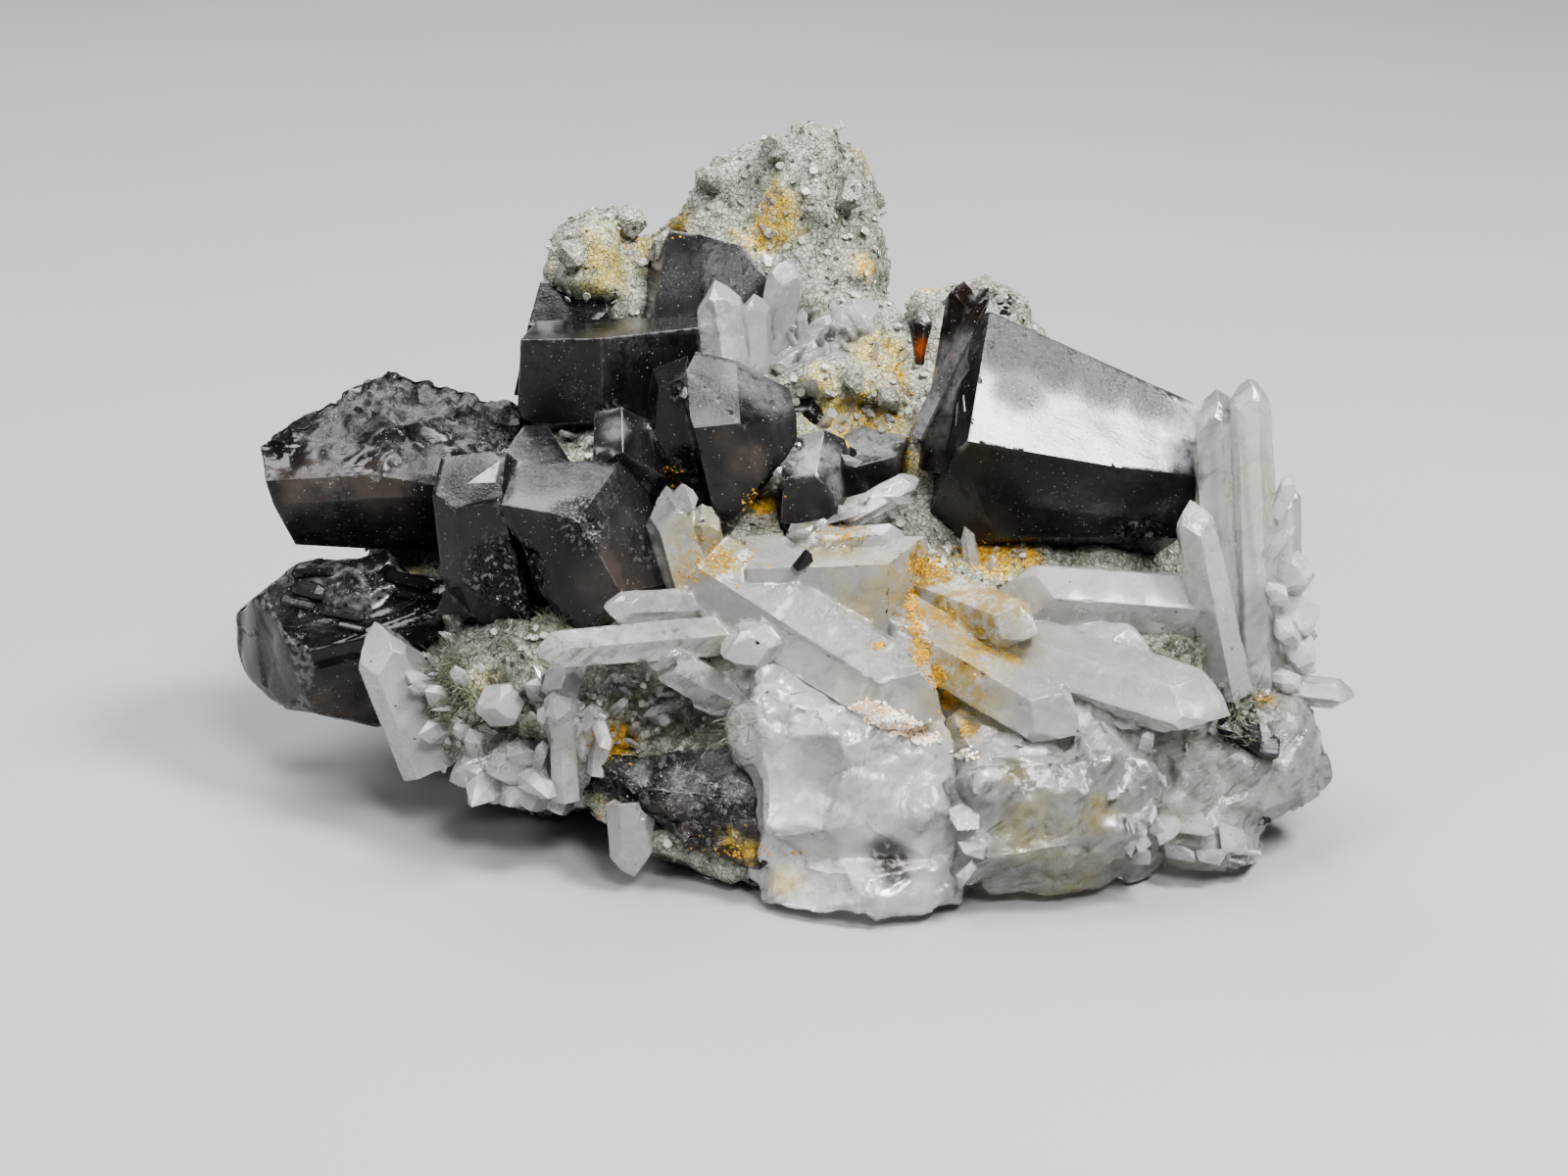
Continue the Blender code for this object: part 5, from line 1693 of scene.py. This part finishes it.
def build_floor(scene):
    """The round pale board under the specimen."""
    bm = bmesh.new()
    bmesh.ops.create_circle(bm, cap_ends=True, radius=FLOOR_RADIUS, segments=FLOOR_SIDES)
    mesh = bpy.data.meshes.new("floor")
    bm.to_mesh(mesh)
    bm.free()
    mesh.materials.append(bpy.data.materials["pale_floor"])
    floor = bpy.data.objects.new("floor", mesh)
    floor.location.z = -FLOOR_DROP
    scene.collection.objects.link(floor)


def build_lights(scene):
    """A dim sky, the key light that one wide face mirrors, and four soft lights round the specimen."""
    world = bpy.data.worlds.new("studio")
    world.use_nodes = True
    sky = world.node_tree.nodes["Background"]
    sky.inputs[0].default_value = SKY_COLOUR
    sky.inputs[1].default_value = SKY_STRENGTH
    scene.world = world
    soft_light("key", mirrored(*KEY_SEEN_IN), *KEY_LIGHT)
    for name, angles, *values in SOFT_LIGHTS:
        soft_light(name, from_angles(*angles), *values)


def build_camera(scene):
    """The camera at the photograph's viewing angle."""
    lens = bpy.data.cameras.new("camera")
    lens.lens = LENS
    lens.sensor_width = SENSOR
    lens.clip_start = NEAREST
    lens.clip_end = FARTHEST
    camera = bpy.data.objects.new("camera", lens)
    camera.location = EYE * MM
    camera.rotation_euler = (TILT, 0.0, 0.0)
    scene.collection.objects.link(camera)
    scene.camera = camera


class SPECIMEN_OT_stage(bpy.types.Operator):
    """Builds the pale floor, the soft lights and the camera"""

    bl_idname = "specimen.stage"
    bl_label = "Floor, lights and camera"

    def execute(self, context):
        build_floor(context.scene)
        build_lights(context.scene)
        build_camera(context.scene)
        context.scene.view_settings.look = "AgX - Medium High Contrast"
        return {"FINISHED"}


SKY_COLOUR, SKY_STRENGTH = (0.86, 0.90, 1.0, 1.0), 0.12
FLOOR_RADIUS, FLOOR_SIDES = 2.5, 96
FLOOR_DROP = 0.00005  # metres that keep the floor's face clear of the specimen's flat patch
MIDDLE = Vector((0, 0, 0.018))  # the point of the specimen that the lights face
# The pixel in which the key light would be seen by the mirror of the face at the second pixel.
KEY_SEEN_IN = (985, 655, "black_crystal_large", 1110, 440)
# Distance and width in metres, power in watts, colour. Before them, a soft light has its name, its azimuth
# and its elevation.
KEY_LIGHT = 0.42, 0.10, 2.4, (1.0, 0.985, 0.96)
SOFT_LIGHTS = [
    ("overhead", (-110.0, 74.0), 0.55, 0.27, 2.3, (0.97, 0.98, 1.0)),
    ("front", (20.0, 48.0), 0.55, 0.15, 2.3, (1.0, 0.99, 0.97)),
    ("left", (-52.0, 38.0), 0.60, 0.16, 1.0, (0.95, 0.97, 1.0)),
    ("rear", (-168.0, 48.0), 0.60, 0.24, 1.4, (0.97, 0.98, 1.0)),
]


def from_angles(azimuth, elevation):
    """The direction towards an azimuth and an elevation, in degrees; 0 is the camera's side."""
    a, e = math.radians(azimuth), math.radians(elevation)
    return Vector((math.sin(a) * math.cos(e), -math.cos(a) * math.cos(e), math.sin(e)))


def mirrored(px, py, piece, face_px, face_py):
    """Where a view ray goes that is mirrored by the plane of the face that shows at another pixel."""
    point, normal = seen_at(surface_tree([piece]), face_px, face_py)
    _, way = ray_of(px, py)
    return way - 2 * way.dot(normal) * normal


def soft_light(name, way, distance, size, power, colour):
    """A square soft light that faces the specimen from a direction."""
    lamp = bpy.data.lights.new(name, "AREA")
    lamp.size = size
    lamp.energy = power
    lamp.color = colour
    obj = bpy.data.objects.new(name, lamp)
    obj.location = MIDDLE + way * distance
    obj.rotation_euler = (-way).to_track_quat("-Z", "Y").to_euler()
    bpy.context.scene.collection.objects.link(obj)


class SPECIMEN_PT_panel(bpy.types.Panel):
    """Lists the specimen's settings and the steps that build it."""

    bl_idname = "SPECIMEN_PT_panel"
    bl_label = "Cassiterite Specimen"
    bl_space_type = "VIEW_3D"
    bl_region_type = "UI"
    bl_category = "Specimen"

    def draw(self, context):
        settings = context.scene.specimen
        column = self.layout.column()
        for name in settings.bl_rna.properties.keys():
            if name not in ("rna_type", "name"):
                column.prop(settings, name)
        for step in STEPS:
            self.layout.operator(step.bl_idname)


STEPS = [
    SPECIMEN_OT_finishes,
    SPECIMEN_OT_rock,
    SPECIMEN_OT_cassiterite,
    SPECIMEN_OT_growth_bars,
    SPECIMEN_OT_thin_crystals,
    SPECIMEN_OT_quartz,
    SPECIMEN_OT_stains,
    SPECIMEN_OT_small_quartz,
    SPECIMEN_OT_grains,
    SPECIMEN_OT_crusts,
    SPECIMEN_OT_needles,
    SPECIMEN_OT_stage,
]


def register():
    """Adds the classes and the scene's settings."""
    for cls in [SpecimenSettings, *STEPS, SPECIMEN_PT_panel]:
        bpy.utils.register_class(cls)
    bpy.types.Scene.specimen = PointerProperty(type=SpecimenSettings)


def unregister():
    """Removes the classes and the scene's settings."""
    del bpy.types.Scene.specimen
    for cls in reversed([SpecimenSettings, *STEPS, SPECIMEN_PT_panel]):
        bpy.utils.unregister_class(cls)


def main():
    """Runs every step in order."""
    register()
    bpy.ops.specimen.finishes()
    bpy.ops.specimen.rock()
    bpy.ops.specimen.cassiterite()
    bpy.ops.specimen.growth_bars()
    bpy.ops.specimen.thin_crystals()
    bpy.ops.specimen.quartz()
    bpy.ops.specimen.stains()
    bpy.ops.specimen.small_quartz()
    bpy.ops.specimen.grains()
    bpy.ops.specimen.crusts()
    bpy.ops.specimen.needles()
    bpy.ops.specimen.stage()


if __name__ == "__main__":
    main()
